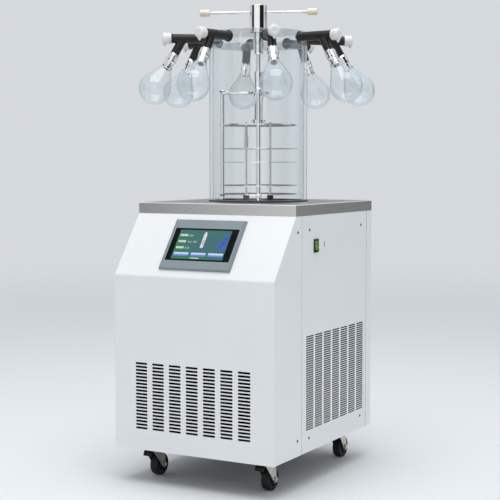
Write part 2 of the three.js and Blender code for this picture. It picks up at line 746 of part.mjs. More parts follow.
// ---------------------------------------------------------------- Cold trap and services

const trapOutside = trapRadius + TRAP_WALL;
const trapTop = worktopTop - SHEET - SEAT;
const trapBottom = trapTop - TRAP_DEPTH;
const pipeBore = PIPE_RADIUS - PIPE_WALL;

function coldTrap() {
  const flangeRadius = trapOutside + TRAP_FLANGE;
  const cup = turned([
    [0, trapBottom],
    [trapOutside, trapBottom],
    [trapOutside, trapTop - TRAP_FLANGE_THICKNESS],
    [flangeRadius, trapTop - TRAP_FLANGE_THICKNESS],
    [flangeRadius, trapTop],
    [trapRadius, trapTop],
    [trapRadius, trapBottom + TRAP_WALL],
    [0, trapBottom + TRAP_WALL],
  ], CHAMBER_SIDES);
  const outlet = alongY(rod(pipeBore, trapRadius / 2, trapOutside + 1));
  return cut(cup, outlet.translate(0, 0, pipeZ));
}

// Vacuum line from the trap's wall out through the rear cover, about the chamber's axis
function vacuumPipe() {
  const rear = CABINET_DEPTH - chamberY;
  const end = rear + PIPE_REACH;
  const tube = join(
    rod(PIPE_RADIUS, trapRadius, end),
    rod(PIPE_FLANGE_RADIUS, end - PIPE_FLANGE_THICKNESS, end),
    rod(PIPE_FLANGE_RADIUS, rear + SEAT, rear + SEAT + PIPE_FLANGE_THICKNESS),
  );
  const line = alongY(cut(tube, rod(pipeBore, trapRadius / 2, end + 1)));
  return cut(line.translate(0, 0, pipeZ), rod(trapOutside + SEAT, trapBottom, trapTop, CHAMBER_SIDES));
}

const chamberAxis = new THREE.Group();
chamberAxis.position.set(0, chamberY, 0);
dryer.add(chamberAxis);
addPiece(chamberAxis, 'cold_trap', coldTrap(), STAINLESS);
addPiece(chamberAxis, 'vacuum_pipe', vacuumPipe(), STAINLESS);

// Mains inlet with its rim outside the rear cover
function powerInlet() {
  const rimWidth = INLET_WIDTH + 2 * INLET_RIM_MARGIN;
  const rim = box(centred(rimWidth), [SEAT, SEAT + INLET_RIM], centred(INLET_HEIGHT + 2 * SHEET));
  const body = box(centred(INLET_WIDTH), [-INLET_DEPTH, SEAT + 1], centred(INLET_HEIGHT));
  const socket = box(
    centred(INLET_WIDTH / 2),
    [-INLET_DEPTH * 0.7, 2 * INLET_RIM],
    centred(INLET_HEIGHT - 3 * INLET_RIM_MARGIN / 2),
  );
  return cut(join(rim, body), socket);
}

const inletPlace = new THREE.Group();
inletPlace.position.set(inletX, CABINET_DEPTH, inletZ);
dryer.add(inletPlace);
addPiece(inletPlace, 'power_inlet', powerInlet(), BLACK_PLASTIC);

// Sealed compressor on its foot plate
function compressor() {
  const shoulder = COMPRESSOR_RADIUS * 0.25;
  const can = turned([
    [0, 0],
    [COMPRESSOR_RADIUS - shoulder, 0],
    [COMPRESSOR_RADIUS, shoulder],
    [COMPRESSOR_RADIUS, COMPRESSOR_HEIGHT - shoulder],
    [COMPRESSOR_RADIUS - shoulder, COMPRESSOR_HEIGHT - shoulder / 3],
    [0, COMPRESSOR_HEIGHT],
  ], 16);
  return join(can, box(centred(COMPRESSOR_FOOT), centred(COMPRESSOR_FOOT), [0, PAN_THICKNESS]));
}

const compressorX = COMPRESSOR_FRAME_GAP + COMPRESSOR_FOOT / 2 - frameSide + FRAME_BAR;
const compressorPlace = new THREE.Group();
compressorPlace.position.set(compressorX, chamberY, panTop + SEAT);
dryer.add(compressorPlace);
addPiece(compressorPlace, 'compressor', compressor(), BLACK_PLASTIC);

// The condenser's own axes: X to the right out of the core's outer face, at the louvre's middle
const coreWidth = sidePanelDepth - 2 * CORE_MARGIN;
const bracketArm = FAN_BRACKET_THICKNESS * 2;
const fanRadius = CORE_HEIGHT / 2 - bracketArm - FAN_TIP_GAP;
const fanX = -CORE_DEPTH - FAN_CORE_GAP;
const bracketX = fanX - FAN_MOTOR_GAP - FAN_MOTOR_LENGTH;

function condenser() {
  const bracketReach = [bracketX, -CORE_DEPTH + 1];
  const legFoot = panTop + SEAT - sideLouvreZ;
  const halfHeight = CORE_HEIGHT / 2;
  const pieces = [];
  for (const side of [-1, 1]) {
    const legY = side * (coreWidth / 2 - CORE_LEG / 2);
    pieces.push(box([-CORE_DEPTH, 0], centred(CORE_LEG, legY), [legFoot, -halfHeight + 1]));
    const arm = side > 0 ? [halfHeight - bracketArm, halfHeight] : [-halfHeight, -halfHeight + bracketArm];
    pieces.push(box(bracketReach, centred(FAN_BRACKET_WIDTH), arm));
  }
  const strap = [bracketX, bracketX + FAN_BRACKET_THICKNESS];
  const motorFace = fanX - FAN_MOTOR_GAP;
  pieces.push(box(strap, centred(FAN_BRACKET_WIDTH), [-halfHeight, halfHeight]));
  pieces.push(alongX(rod(FAN_MOTOR_RADIUS, bracketX, motorFace)));
  pieces.push(alongX(rod(FAN_SHAFT_RADIUS, motorFace - 1, fanX + FAN_HUB_LENGTH / 2)));
  return join(box([-CORE_DEPTH, 0], centred(coreWidth), centred(CORE_HEIGHT)), ...pieces);
}

function condenserFan() {
  const hub = centred(FAN_HUB_LENGTH);
  const blades = [];
  for (let blade = 0; blade < FAN_BLADES; blade += 1) {
    const sheet = box(
      [FAN_HUB_RADIUS * 0.8, fanRadius],
      centred(FAN_BLADE_CHORD),
      centred(FAN_BLADE_THICKNESS),
    );
    blades.push(sheet.rotateX(degrees(FAN_BLADE_PITCH)).rotateZ((2 * Math.PI * blade) / FAN_BLADES));
  }
  const bore = rod(FAN_SHAFT_RADIUS + TURNING_GAP, hub[0] - 1, hub[1] + 1);
  return alongX(cut(join(rod(FAN_HUB_RADIUS, ...hub), ...blades), bore)).translate(fanX, 0, 0);
}

const condenserPlace = new THREE.Group();
condenserPlace.position.set(frameSide - FRAME_BAR - CORE_FRAME_GAP, sideLouvreY, sideLouvreZ);
dryer.add(condenserPlace);
addPiece(condenserPlace, 'condenser', condenser(), COPPER_FIN);
addPiece(condenserPlace, 'condenser_fan', condenserFan(), BLACK_PLASTIC);

// ---------------------------------------------------------------- Chamber

// Everything on the worktop, with heights counted from its surface
const chamber = new THREE.Group();
chamber.position.set(0, chamberY, worktopTop);
dryer.add(chamber);

const valveMiddle = (chamberTop + lidTop) / 2;
const shaftBore = SCREW_RADIUS + TURNING_GAP;

function lid() {
  const tools = [rod(shaftBore, lidBottom - 1, lidTop + 1)];
  const inner = CHAMBER_RADIUS - PORT_DEPTH;
  for (let port = 0; port < PORTS; port += 1) {
    const turn = degrees(MANIFOLD_TURN + (360 * port) / PORTS);
    const across = rod(PORT_RADIUS, inner, CHAMBER_RADIUS + 2, 8).rotateY(Math.PI / 2);
    const down = rod(PORT_RADIUS, lidBottom - 1, valveMiddle, 8).translate(inner, 0, 0);
    tools.push(across.translate(0, 0, valveMiddle).rotateZ(turn), down.rotateZ(turn));
  }
  return cut(rod(CHAMBER_RADIUS, lidBottom, lidTop, CHAMBER_SIDES), ...tools);
}

const gasket = ring(
  cylinderInside - GASKET_INNER_LIP,
  CHAMBER_RADIUS + GASKET_LIP,
  SEAT,
  GASKET_HEIGHT,
  CHAMBER_SIDES,
);
const cylinder = ring(cylinderInside, CHAMBER_RADIUS, GASKET_HEIGHT + SEAT, chamberTop, CHAMBER_SIDES);
addPiece(chamber, 'chamber_gasket', gasket, BLACK_RUBBER);
addPiece(chamber, 'chamber_cylinder', cylinder, [0xdff1f6, 0.05, 0], CLEAR);
addPiece(chamber, 'chamber_lid', lid(), [0xdff1f6, 0.05, 0], CLEAR);

// ---------------------------------------------------------------- Valves and flasks

const knobStart = VALVE_LENGTH + SEAT;
const adapterEnd = LEG_LENGTH + ADAPTER_LENGTH;
const flaskBore = FLASK_NECK_RADIUS - FLASK_WALL;

// The leg's own axes: Z down the leg from the valve's middle line
const legMatrix = new THREE.Matrix4()
  .makeTranslation(VALVE_LENGTH - LEG_INSET, 0, 0)
  .multiply(new THREE.Matrix4().makeRotationY(degrees(90 + LEG_TILT)));

// Valve along X from its flange on the lid's rim, with its leg and adapter
function valveBody() {
  const barrel = join(
    alongX(rod(VALVE_RADIUS, 0, VALVE_LENGTH)),
    alongX(rod(VALVE_FLANGE_RADIUS, 0, VALVE_FLANGE_THICKNESS)),
    alongX(rod(PORT_RADIUS - TURNING_GAP, -VALVE_STEM, 1, 8)),
  );
  const leg = join(
    rod(LEG_RADIUS, 0, LEG_LENGTH + 1),
    rod(ADAPTER_RADIUS, LEG_LENGTH, adapterEnd),
    rod(flaskBore - TURNING_GAP, adapterEnd - 1, adapterEnd + PLUG_LENGTH, FLASK_SIDES),
  );
  const socketDepth = KNOB_SHAFT_LENGTH + TURNING_GAP;
  const socket = rod(KNOB_SHAFT_RADIUS + TURNING_GAP, VALVE_LENGTH - socketDepth, VALVE_LENGTH + 1, 8);
  return cut(join(barrel, leg.applyMatrix4(legMatrix)), alongX(socket));
}

// Knob with its shaft in the valve's end and a pointer tab below
function valveKnob() {
  const end = knobStart + KNOB_LENGTH;
  const tab = box(
    [end - KNOB_TAB, end + KNOB_TAB / 3],
    centred(KNOB_TAB / 2),
    [-KNOB_RADIUS - KNOB_TAB, -KNOB_RADIUS / 2],
  );
  return join(
    alongX(rod(KNOB_RADIUS, knobStart, end)),
    alongX(rod(KNOB_SHAFT_RADIUS, knobStart - KNOB_SHAFT_LENGTH, knobStart + 1, 8)),
    tab,
  );
}

// One side of the flask's wall from the bottom of the bulb to the mouth
function flaskLine(bulbRadius, neckRadius) {
  const neckEnd = FLASK_NECK_LENGTH;
  const reach = FLASK_BULB_AT - neckEnd;
  const slope = Math.asin(bulbRadius / Math.hypot(reach, neckRadius)) - Math.atan2(neckRadius, reach);
  const steps = 5;
  const points = [];
  for (let step = 0; step <= steps; step += 1) {
    const angle = Math.PI / 2 - ((Math.PI / 2 + slope) * step) / steps;
    const radius = step === 0 ? 0 : bulbRadius * Math.cos(angle);
    points.push([radius, FLASK_BULB_AT + bulbRadius * Math.sin(angle)]);
  }
  points.push([neckRadius, neckEnd], [neckRadius, 0]);
  return points;
}

// Pear-shaped flask, mouth at the origin and bulb along Z
function flask() {
  const outside = flaskLine(FLASK_BULB_RADIUS, FLASK_NECK_RADIUS);
  const inside = flaskLine(FLASK_BULB_RADIUS - FLASK_WALL, flaskBore);
  return turned([...inside, ...outside.reverse()], FLASK_SIDES);
}

for (let port = 0; port < PORTS; port += 1) {
  const arm = new THREE.Group();
  arm.rotation.z = degrees(MANIFOLD_TURN + (360 * port) / PORTS);
  arm.position.z = valveMiddle;
  chamber.add(arm);
  const valve = new THREE.Group();
  valve.position.x = valveStart;
  arm.add(valve);
  addPiece(valve, `valve_${port + 1}`, valveBody(), BLACK_RUBBER);
  addPiece(valve, `valve_knob_${port + 1}`, valveKnob(), WHITE_PLASTIC);
  const flaskPlace = new THREE.Group();
  flaskPlace.applyMatrix4(legMatrix);
  flaskPlace.translateZ(adapterEnd + SEAT);
  valve.add(flaskPlace);
  addPiece(flaskPlace, `flask_${port + 1}`, flask(), [0xeef6f8, 0.05, 0], CLEAR);
}

// ---------------------------------------------------------------- Rack and press

const postPlaces = POST_DIRECTIONS.map((direction) => onCircle(postCircle, direction));
const guidePlaces = GUIDE_DIRECTIONS.map((direction) => onCircle(postCircle, direction));

// Plate that slides on the posts and the guide rods
function slidingPlate(low, thickness) {
  const high = low + thickness;
  const bore = (radius) => ([x, y]) => rod(radius + TURNING_GAP, low - 1, high + 1, 8).translate(x, y, 0);
  const holes = [...postPlaces.map(bore(POST_RADIUS)), ...guidePlaces.map(bore(GUIDE_RADIUS))];
  return cut(prism(circle(plateRadius, PLATE_SIDES), low, high), ...holes);
}

// Posts, feet, base plate and the yoke with its nut
function pressFrame() {
  const yokeTop = yokeAt + YOKE_THICKNESS;
  const pieces = [rod(YOKE_RADIUS, yokeAt, yokeTop, 16)];
  for (const direction of POST_DIRECTIONS) {
    const [x, y] = onCircle(postCircle, direction);
    const arm = box([0, postCircle + POST_RADIUS], centred(YOKE_ARM), [yokeAt, yokeTop]);
    pieces.push(arm.rotateZ(degrees(direction)));
    pieces.push(rod(POST_RADIUS, SEAT, yokeTop, 8).translate(x, y, 0));
    pieces.push(rod(CAP_NUT_RADIUS, yokeTop - 1, yokeTop + CAP_NUT_HEIGHT, 6).translate(x, y, 0));
  }
  for (const [x, y] of guidePlaces) {
    pieces.push(rod(FOOT_RADIUS, SEAT, FOOT_HEIGHT, 8).translate(x, y, 0));
    pieces.push(rod(GUIDE_RADIUS, FOOT_HEIGHT - 1, pressPlateAt + GUIDE_REACH, 8).translate(x, y, 0));
  }
  const nutLow = yokeAt - YOKE_NUT_HEIGHT;
  const [lowRadius, highRadius] = YOKE_NUT_RADII;
  pieces.push(turned([[0, nutLow], [lowRadius, nutLow], [highRadius, yokeAt + 1], [0, yokeAt + 1]], 12));
  const plate = prism(circle(plateRadius, PLATE_SIDES), BASE_PLATE_AT, BASE_PLATE_AT + SHELF_THICKNESS);
  return cut(join(plate, ...pieces), rod(shaftBore, nutLow - 1, yokeTop + 1));
}

function pressPlate() {
  const pinHole = THRUST_PIN_RADIUS + TURNING_GAP;
  const bottom = pressPlateAt + PRESS_PLATE_THICKNESS;
  const collar = rod(PRESS_COLLAR_RADIUS, bottom - 1, pressCollarTop);
  const pinRoom = rod(pinHole, thrustBottom - THRUST_PIN_LENGTH - TURNING_GAP, pressCollarTop + 1);
  return cut(join(slidingPlate(pressPlateAt, PRESS_PLATE_THICKNESS), collar), pinRoom);
}

// Screw through the yoke's nut, with the thrust end that turns in the press plate
function pressScrew() {
  return join(
    rod(THRUST_RADIUS, thrustBottom, thrustTop),
    rod(THRUST_PIN_RADIUS, thrustBottom - THRUST_PIN_LENGTH, thrustBottom + 1, 8),
    rod(SCREW_RADIUS, thrustTop - 1, sleeveTop - SLEEVE_ROOF - TURNING_GAP),
  );
}

// Handle above the lid, shaft through it, and the sleeve that drives the screw
function pressHandle() {
  const hubBottom = lidTop + SEAT;
  const hubTop = hubBottom + HUB_HEIGHT;
  const hub = turned([
    [0, hubBottom],
    [HUB_RADIUS, hubBottom],
    [HUB_RADIUS, hubTop - HUB_ROUNDING],
    [HUB_RADIUS - HUB_ROUNDING, hubTop],
    [0, hubTop],
  ], 16);
  const barHalf = BAR_LENGTH / 2;
  const bar = [alongX(rod(BAR_RADIUS, -barHalf, barHalf, 8))];
  for (const end of [-1, 1]) {
    const inner = end * (barHalf - BAR_CAP_LENGTH);
    bar.push(alongX(rod(BAR_CAP_RADIUS, Math.min(inner, end * barHalf), Math.max(inner, end * barHalf), 10)));
  }
  const place = (shape) => shape.translate(0, 0, lidTop + BAR_RISE).rotateZ(degrees(BAR_DIRECTION));
  const whole = join(
    hub,
    ...bar.map(place),
    rod(SCREW_RADIUS, sleeveTop - 1, hubBottom + 1),
    rod(COLLAR_RADIUS, lidBottom - SEAT - COLLAR_HEIGHT, lidBottom - SEAT),
    rod(SLEEVE_RADIUS, sleeveBottom, sleeveTop),
  );
  return cut(whole, rod(shaftBore, sleeveBottom - 1, sleeveTop - SLEEVE_ROOF));
}

addPiece(chamber, 'press_frame', pressFrame(), CHROME);
addPiece(chamber, 'press_plate', pressPlate(), CHROME);
addPiece(chamber, 'press_screw', pressScrew(), CHROME);
addPiece(chamber, 'press_handle', pressHandle(), CHROME);
SHELF_HEIGHTS.forEach((height, index) => {
  addPiece(chamber, `shelf_${index + 1}`, slidingPlate(height, SHELF_THICKNESS), STAINLESS);
});

// ---------------------------------------------------------------- Origin

// The origin is on the floor, under the middle of the whole machine
const extent = new THREE.Box3().setFromObject(dryer, true);
dryer.position.set(-(extent.min.x + extent.max.x) / 2, -(extent.min.y + extent.max.y) / 2, -extent.min.z);

export default dryer;
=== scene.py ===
import math

import bmesh
import bpy
from mathutils import Matrix, Vector


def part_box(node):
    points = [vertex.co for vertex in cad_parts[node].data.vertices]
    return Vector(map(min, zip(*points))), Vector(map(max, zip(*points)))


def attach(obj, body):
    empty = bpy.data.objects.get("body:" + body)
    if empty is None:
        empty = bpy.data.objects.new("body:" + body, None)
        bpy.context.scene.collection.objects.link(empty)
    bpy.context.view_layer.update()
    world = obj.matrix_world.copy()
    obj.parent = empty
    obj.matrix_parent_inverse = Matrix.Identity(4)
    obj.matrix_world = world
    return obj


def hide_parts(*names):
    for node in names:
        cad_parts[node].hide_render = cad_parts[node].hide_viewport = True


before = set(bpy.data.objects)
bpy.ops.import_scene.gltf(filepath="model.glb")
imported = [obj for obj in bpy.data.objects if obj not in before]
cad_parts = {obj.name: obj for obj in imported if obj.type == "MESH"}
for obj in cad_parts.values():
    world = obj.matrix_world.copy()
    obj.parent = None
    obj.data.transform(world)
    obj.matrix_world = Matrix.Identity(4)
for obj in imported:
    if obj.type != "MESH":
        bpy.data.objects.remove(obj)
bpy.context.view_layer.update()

# ---------------------------------------------------------------- Studio
# The freeze dryer stands on a pale seamless floor in a soft light tent, with one lamp above it. Dark boards and a
# white one round it, which only polished surfaces see, draw the bands in the bright metal.

EYE_PLACE = (1.7637, -3.1959, 0.8879)
EYE_TURN = (math.radians(85.95), 0, math.radians(29.16))
EYE_LENS = 90.66
TENT_COLOUR = (0.665, 0.695, 0.722, 1)
FLOOR_COLOUR = (0.78, 0.80, 0.81, 1)
FLOOR_RADIUS, FADE_START, FADE_END = 12, 1.5, 8.0
LAMP_PLACE, LAMP_TARGET, LAMP_SIZE, LAMP_POWER = (0.3, -0.7, 3.6), (0, 0, 0.7), 2.8, 72

scene = bpy.context.scene
scene.view_settings.view_transform = "Standard"

eye = bpy.data.objects.new("eye", bpy.data.cameras.new("eye"))
eye.location, eye.rotation_euler, eye.data.lens = EYE_PLACE, EYE_TURN, EYE_LENS
scene.collection.objects.link(eye)
scene.camera = eye

tent = bpy.data.worlds.new("tent")
tent.use_nodes = True
tent.node_tree.nodes["Background"].inputs["Color"].default_value = TENT_COLOUR
scene.world = tent


def facing(place, target):
    """The turn that points a lamp or a board at place towards target."""
    return (Vector(target) - Vector(place)).to_track_quat("-Z", "Y").to_euler()


lamp = bpy.data.objects.new("top_lamp", bpy.data.lights.new("top_lamp", "AREA"))
lamp.data.shape = "RECTANGLE"
lamp.data.size = lamp.data.size_y = LAMP_SIZE
lamp.data.energy = LAMP_POWER
lamp.location, lamp.rotation_euler = LAMP_PLACE, facing(LAMP_PLACE, LAMP_TARGET)
scene.collection.objects.link(lamp)


def bare_material(name):
    """A new material with its nodes and its shader."""
    material = bpy.data.materials.new(name)
    material.use_nodes = True
    nodes = material.node_tree.nodes
    return material, nodes, nodes["Principled BSDF"]


def feed(node, inputs):
    """Gives each input its value, or a link where the value is another node's output."""
    for name, value in inputs.items():
        if isinstance(value, bpy.types.NodeSocket):
            node.id_data.links.new(value, node.inputs[name])
        else:
            node.inputs[name].default_value = value


def added(nodes, kind, inputs=None, **settings):
    """A new node with its inputs and its settings."""
    node = nodes.new(f"ShaderNode{kind}")
    for setting, value in settings.items():
        setattr(node, setting, value)
    feed(node, inputs or {})
    return node


def spread(nodes, source, low, high, inside=(0.3, 0.7), **settings):
    """Stretches a noise, which keeps near its middle, over the range from low to high."""
    limits = {"Value": source, "From Min": inside[0], "From Max": inside[1], "To Min": low, "To Max": high}
    return added(nodes, "MapRange", limits, **settings).outputs["Result"]


bpy.ops.mesh.primitive_circle_add(vertices=128, radius=FLOOR_RADIUS, fill_type="NGON")
floor = bpy.context.object
floor.name = "floor"
floor_finish, nodes, shader = bare_material("floor_finish")
feed(shader, {"Roughness": 0.9, "Base Color": FLOOR_COLOUR})
spot = added(nodes, "TexCoord").outputs["Object"]
distance = added(nodes, "VectorMath", {0: spot}, operation="LENGTH").outputs["Value"]
fade = spread(nodes, distance, 0, 1, (FADE_START, FADE_END), interpolation_type="SMOOTHERSTEP")
away = added(nodes, "BsdfTransparent").outputs["BSDF"]
melt = added(nodes, "MixShader", {"Fac": fade, 1: shader.outputs["BSDF"], 2: away})
feed(nodes["Material Output"], {"Surface": melt.outputs["Shader"]})
floor.data.materials.append(floor_finish)

for name, bearing, reach, middle, width, height, shade, glow in (
    ("left_board", -138.5, 5.6, 1.3, 3.3, 4.4, 0.02, 0.0),
    ("front_board", -80, 5.7, 1.3, 7.7, 4.4, 0.0, 1.0),
    ("right_board", -14, 5.6, 1.3, 6.2, 4.4, 0.02, 0.0),
    ("rear_board", 62, 5.2, 1.3, 2.5, 3.6, 0.02, 0.15),
    ("far_board", 119, 5.2, 1.1, 3.4, 2.0, 0.05, 0.1),
):
    bpy.ops.mesh.primitive_plane_add(size=1)
    board = bpy.context.object
    board.name = name
    board.scale = (width, height, 1)
    angle = math.radians(bearing)
    board.location = (reach * math.cos(angle), reach * math.sin(angle), middle)
    board.rotation_euler = facing(board.location, (0, 0, middle))
    board.visible_camera = board.visible_diffuse = board.visible_shadow = False
    board.visible_transmission = False
    board_finish, nodes, shader = bare_material(f"{name}_finish")
    feed(shader, {"Base Color": (shade, shade, shade, 1), "Roughness": 1.0, "Specular IOR Level": 0.0,
                  "Emission Color": (1, 1, 1, 1), "Emission Strength": glow})
    board.data.materials.append(board_finish)

# ---------------------------------------------------------------- Chassis
# Square steel bars are welded into two side frames on a floor pan, and the whole is galvanised, which leaves its
# crystals on the surface. Its zinc is coloured far darker than bare zinc, as painted shade for the cabinet's dark
# inside seen through the slots. Four steel plates under the pan take the casters, each on four bolts.


def noise(nodes, scale, stretch=(1, 1, 1), kind="TexNoise"):
    """A noise over the piece's own coordinates. Stretch is how much finer it is along each axis."""
    place = added(nodes, "TexCoord").outputs["Object"]
    mapping = added(nodes, "Mapping", {"Vector": place, "Scale": stretch}).outputs["Vector"]
    field = added(nodes, kind, {"Vector": mapping, "Scale": scale})
    if kind != "TexNoise":
        return field.outputs["Color"]
    feed(field, {"Detail": 3.0})
    return field.outputs["Fac"]


def ramped(nodes, source, stops):
    """A colour that follows a noise through stops, each a place and a colour."""
    ramp = added(nodes, "ValToRGB", {"Fac": source})
    for stop, (place, colour) in zip(ramp.color_ramp.elements, stops):
        stop.position, stop.color = place, (*colour, 1)
    return ramp.outputs["Color"]


def shades(colour, change):
    """The colour made darker and lighter by one share."""
    return [[min(1, part * share) for part in colour] for share in (1 - change, 1 + change)]


def finish(name, colour, roughness, metallic=0.0, patches=(14, 0.05), gloss=(40, 0.06), relief=(700, 0.03),
           stretch=(1, 1, 1), **settings):
    """A finish whose colour, gloss and relief each follow a noise: its scale per metre, and how far it goes."""
    material, nodes, shader = bare_material(name)
    field, wear, grain = (noise(nodes, scale, stretch) for scale in (patches[0], gloss[0], relief[0]))
    bump = added(nodes, "Bump", {"Height": grain, "Strength": relief[1], "Distance": 0.001})
    feed(shader, {
        "Base Color": ramped(nodes, field, zip((0.32, 0.68), shades(colour, patches[1]))),
        "Metallic": metallic,
        "Roughness": spread(nodes, wear, roughness - gloss[1], roughness + gloss[1]),
        "Normal": bump.outputs["Normal"],
        **{socket.replace("_", " "): value for socket, value in settings.items()},
    })
    return material


def refinish(piece, material):
    """Gives every face of a piece this one material."""
    piece.data.materials.clear()
    piece.data.materials.append(material)


# The zinc and its crystals are coloured far darker than bare zinc: painted shade for the dark inside of the cabinet,
# seen through the slots.
galvanised = finish("galvanised", (0.14, 0.145, 0.15), 0.55, 1.0, patches=(60, 0.10), gloss=(90, 0.10))
nodes = galvanised.node_tree.nodes
tone = added(nodes, "SeparateColor", {"Color": noise(nodes, 55, kind="TexVoronoi")}).outputs["Red"]
crystals = ramped(nodes, tone, ((0, (0.10, 0.105, 0.11)), (1, (0.18, 0.19, 0.195))))
feed(nodes["Principled BSDF"], {"Base Color": crystals})
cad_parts["chassis"].data.materials[0] = galvanised


def clear():
    """Leaves edit mode and selects nothing."""
    if bpy.context.mode != "OBJECT":
        bpy.ops.object.mode_set(mode="OBJECT")
    bpy.ops.object.select_all(action="DESELECT")


def only(piece):
    """Selects this piece alone, in object mode."""
    clear()
    piece.select_set(True)
    bpy.context.view_layer.objects.active = piece
    return piece


def edit(piece):
    """Opens this piece alone, with all of it selected."""
    only(piece)
    bpy.ops.object.mode_set(mode="EDIT")
    bpy.ops.mesh.select_all(action="SELECT")
    return piece


def named(name):
    """The object just made, under its name."""
    piece = bpy.context.object
    piece.name = name
    return piece


def shaded(piece, angle):
    """Smooths a piece up to an angle."""
    only(piece)
    bpy.ops.object.shade_smooth_by_angle(angle=math.radians(angle))
    return piece


def smoothed(piece, angle=35):
    """Closes the piece's seams, points its faces outwards and smooths it up to an angle."""
    edit(piece)
    bpy.ops.mesh.remove_doubles(threshold=1e-6)
    bpy.ops.mesh.normals_make_consistent(inside=False)
    if bmesh.from_edit_mesh(piece.data).calc_volume(signed=True) < 0:
        bpy.ops.mesh.flip_normals()
    return shaded(piece, angle)


MM = 0.001


def turned(name, rings, sides=48, angle=35):
    """A round piece about Z through rings of radius and height in millimetres. Rings that end where they start make
    a hollow wall."""
    (radius, height), *others = [(radius * MM, height * MM) for radius, height in rings]
    hollow = rings[0] == rings[-1]
    clear()
    bpy.ops.mesh.primitive_circle_add(vertices=sides, radius=radius, fill_type="NOTHING" if hollow else "NGON")
    piece = edit(named(name))
    bpy.ops.transform.translate(value=(0, 0, height))
    extrude = bpy.ops.mesh.extrude_edges_move if hollow else bpy.ops.mesh.extrude_region_move
    for next_radius, next_height in others:
        extrude(TRANSFORM_OT_translate={"value": (0, 0, next_height - height)})
        share = next_radius / radius
        if abs(share - 1) > 1e-9:
            bpy.ops.transform.resize(value=(share, share, 1), center_override=(0, 0, next_height))
        radius, height = next_radius, next_height
    return smoothed(piece, angle)


def moved(piece, matrix):
    """Sets a piece's mesh in its place and leaves its object at the origin."""
    only(piece)
    piece.matrix_world = matrix
    bpy.ops.object.transform_apply(location=True, rotation=True, scale=True)
    return piece


def copy_of(piece, name, matrix=Matrix.Identity(4)):
    """A copy of a piece, with its own mesh, in its place."""
    only(piece)
    bpy.ops.object.duplicate()
    return moved(named(name), matrix)


def joined(name, *pieces):
    """Joins pieces into one under a new name."""
    only(pieces[0])
    for piece in pieces[1:]:
        piece.select_set(True)
    if len(pieces) > 1:
        bpy.ops.object.join()
    pieces[0].name = name
    return pieces[0]


def copies(name, model, places):
    """Copies of a model in their places, joined into one piece. The model goes."""
    made = [copy_of(model, name, place) for place in places]
    bpy.data.objects.remove(model)
    return joined(name, *made)


def at(x, y, z):
    """A place, in millimetres."""
    return Matrix.Translation((x * MM, y * MM, z * MM))


def turn(degrees, axis):
    return Matrix.Rotation(math.radians(degrees), 4, axis)


def box_of(node):
    """The low and the high corner of a plain solid, in millimetres."""
    return [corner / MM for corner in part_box(node)]


BOLTS_OUT = (-24, 24)  # from the swivel axis, both ways along the plate
bolt = turned("bolt", [(4.2, 0), (4.2, 3), (3.8, 3.6)], sides=6, angle=20)
bolt = joined("bolt", bolt, turned("washer", [(6, -1), (6, 0.2)], sides=20))
bolt_places = []
for name, swivel_y in (("front_left", -270.1), ("front_right", -270.1), ("rear_left", 176.9), ("rear_right", 176.9)):
    low, high = box_of(f"caster_fork_{name}")
    bolt_places += [at((low.x + high.x) / 2 + dx, swivel_y + dy, box_of("chassis")[0].z - 0.2) @ turn(180, "X")
                    for dx in BOLTS_OUT for dy in BOLTS_OUT]
plate_bolts = copies("caster_plate_bolts", bolt, bolt_places)
zinc = finish("zinc", (0.60, 0.575, 0.51), 0.34, 1.0, patches=(70, 0.14), gloss=(120, 0.08), relief=(900, 0.05))
refinish(plate_bolts, zinc)
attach(plate_bolts, "cabinet")

# ---------------------------------------------------------------- Casters
# Each caster is a zinc-plated steel fork that swivels on a ball race under its plate. The fork is pressed from one
# sheet, and a bolt with a bright nut carries the black rubber wheel. The front two have a black foot brake.


def worked(piece, kind, **settings):
    """Adds a modifier to a piece and applies it."""
    only(piece)
    change = piece.modifiers.new("work", kind)
    for setting, value in settings.items():
        setattr(change, setting, value)
    bpy.ops.object.modifier_apply(modifier=change.name)
    return piece


def eased(piece, width, angle, segments=2):
    """Rounds the edges that are sharper than an angle."""
    return worked(piece, "BEVEL", width=width * MM, segments=segments, limit_method="ANGLE",
                  angle_limit=math.radians(angle))


def discard(*pieces):
    for piece in pieces:
        bpy.data.objects.remove(piece)


def cut(piece, *shapes, operation="DIFFERENCE"):
    """Cuts shapes out of a piece, and takes them away."""
    for shape in shapes:
        worked(piece, "BOOLEAN", operation=operation, object=shape, solver="EXACT")
        discard(shape)
    return piece


def fused(piece, *shapes):
    """Makes a piece and the shapes one solid."""
    return cut(piece, *shapes, operation="UNION")


def block(name, low, high, rounding=0.0, segments=2):
    """A block between two corners, in millimetres, with its edges rounded."""
    clear()
    bpy.ops.mesh.primitive_cube_add(size=1)
    sizes = Matrix.Diagonal([(b - a) * MM for a, b in zip(low, high)] + [1])
    piece = moved(named(name), at(*((a + b) / 2 for a, b in zip(low, high))) @ sizes)
    if rounding:
        worked(piece, "BEVEL", width=rounding * MM, segments=segments)
    return piece


def profiled(name, outline, low, high, axis="X"):
    """A flat outline in millimetres pushed out along an axis: (y, z) along X, (x, z) along Y or (x, y) along Z."""
    clear()
    bpy.ops.mesh.primitive_circle_add(vertices=len(outline), fill_type="NGON")
    piece = named(name)
    for corner, (a, b) in zip(piece.data.vertices, outline):
        corner.co = [part * MM for part in {"X": (low, a, b), "Y": (a, low, b), "Z": (a, b, low)}[axis]]
    edit(piece)
    reach = [(high - low) * MM if letter == axis else 0 for letter in "XYZ"]
    bpy.ops.mesh.extrude_region_move(TRANSFORM_OT_translate={"value": reach})
    return smoothed(piece)


def arc(middle, radius, start, end, steps=6):
    """Points on part of a circle, for an outline."""
    angles = [math.radians(start + (end - start) * step / steps) for step in range(steps + 1)]
    return [(middle[0] + radius * math.cos(angle), middle[1] + radius * math.sin(angle)) for angle in angles]


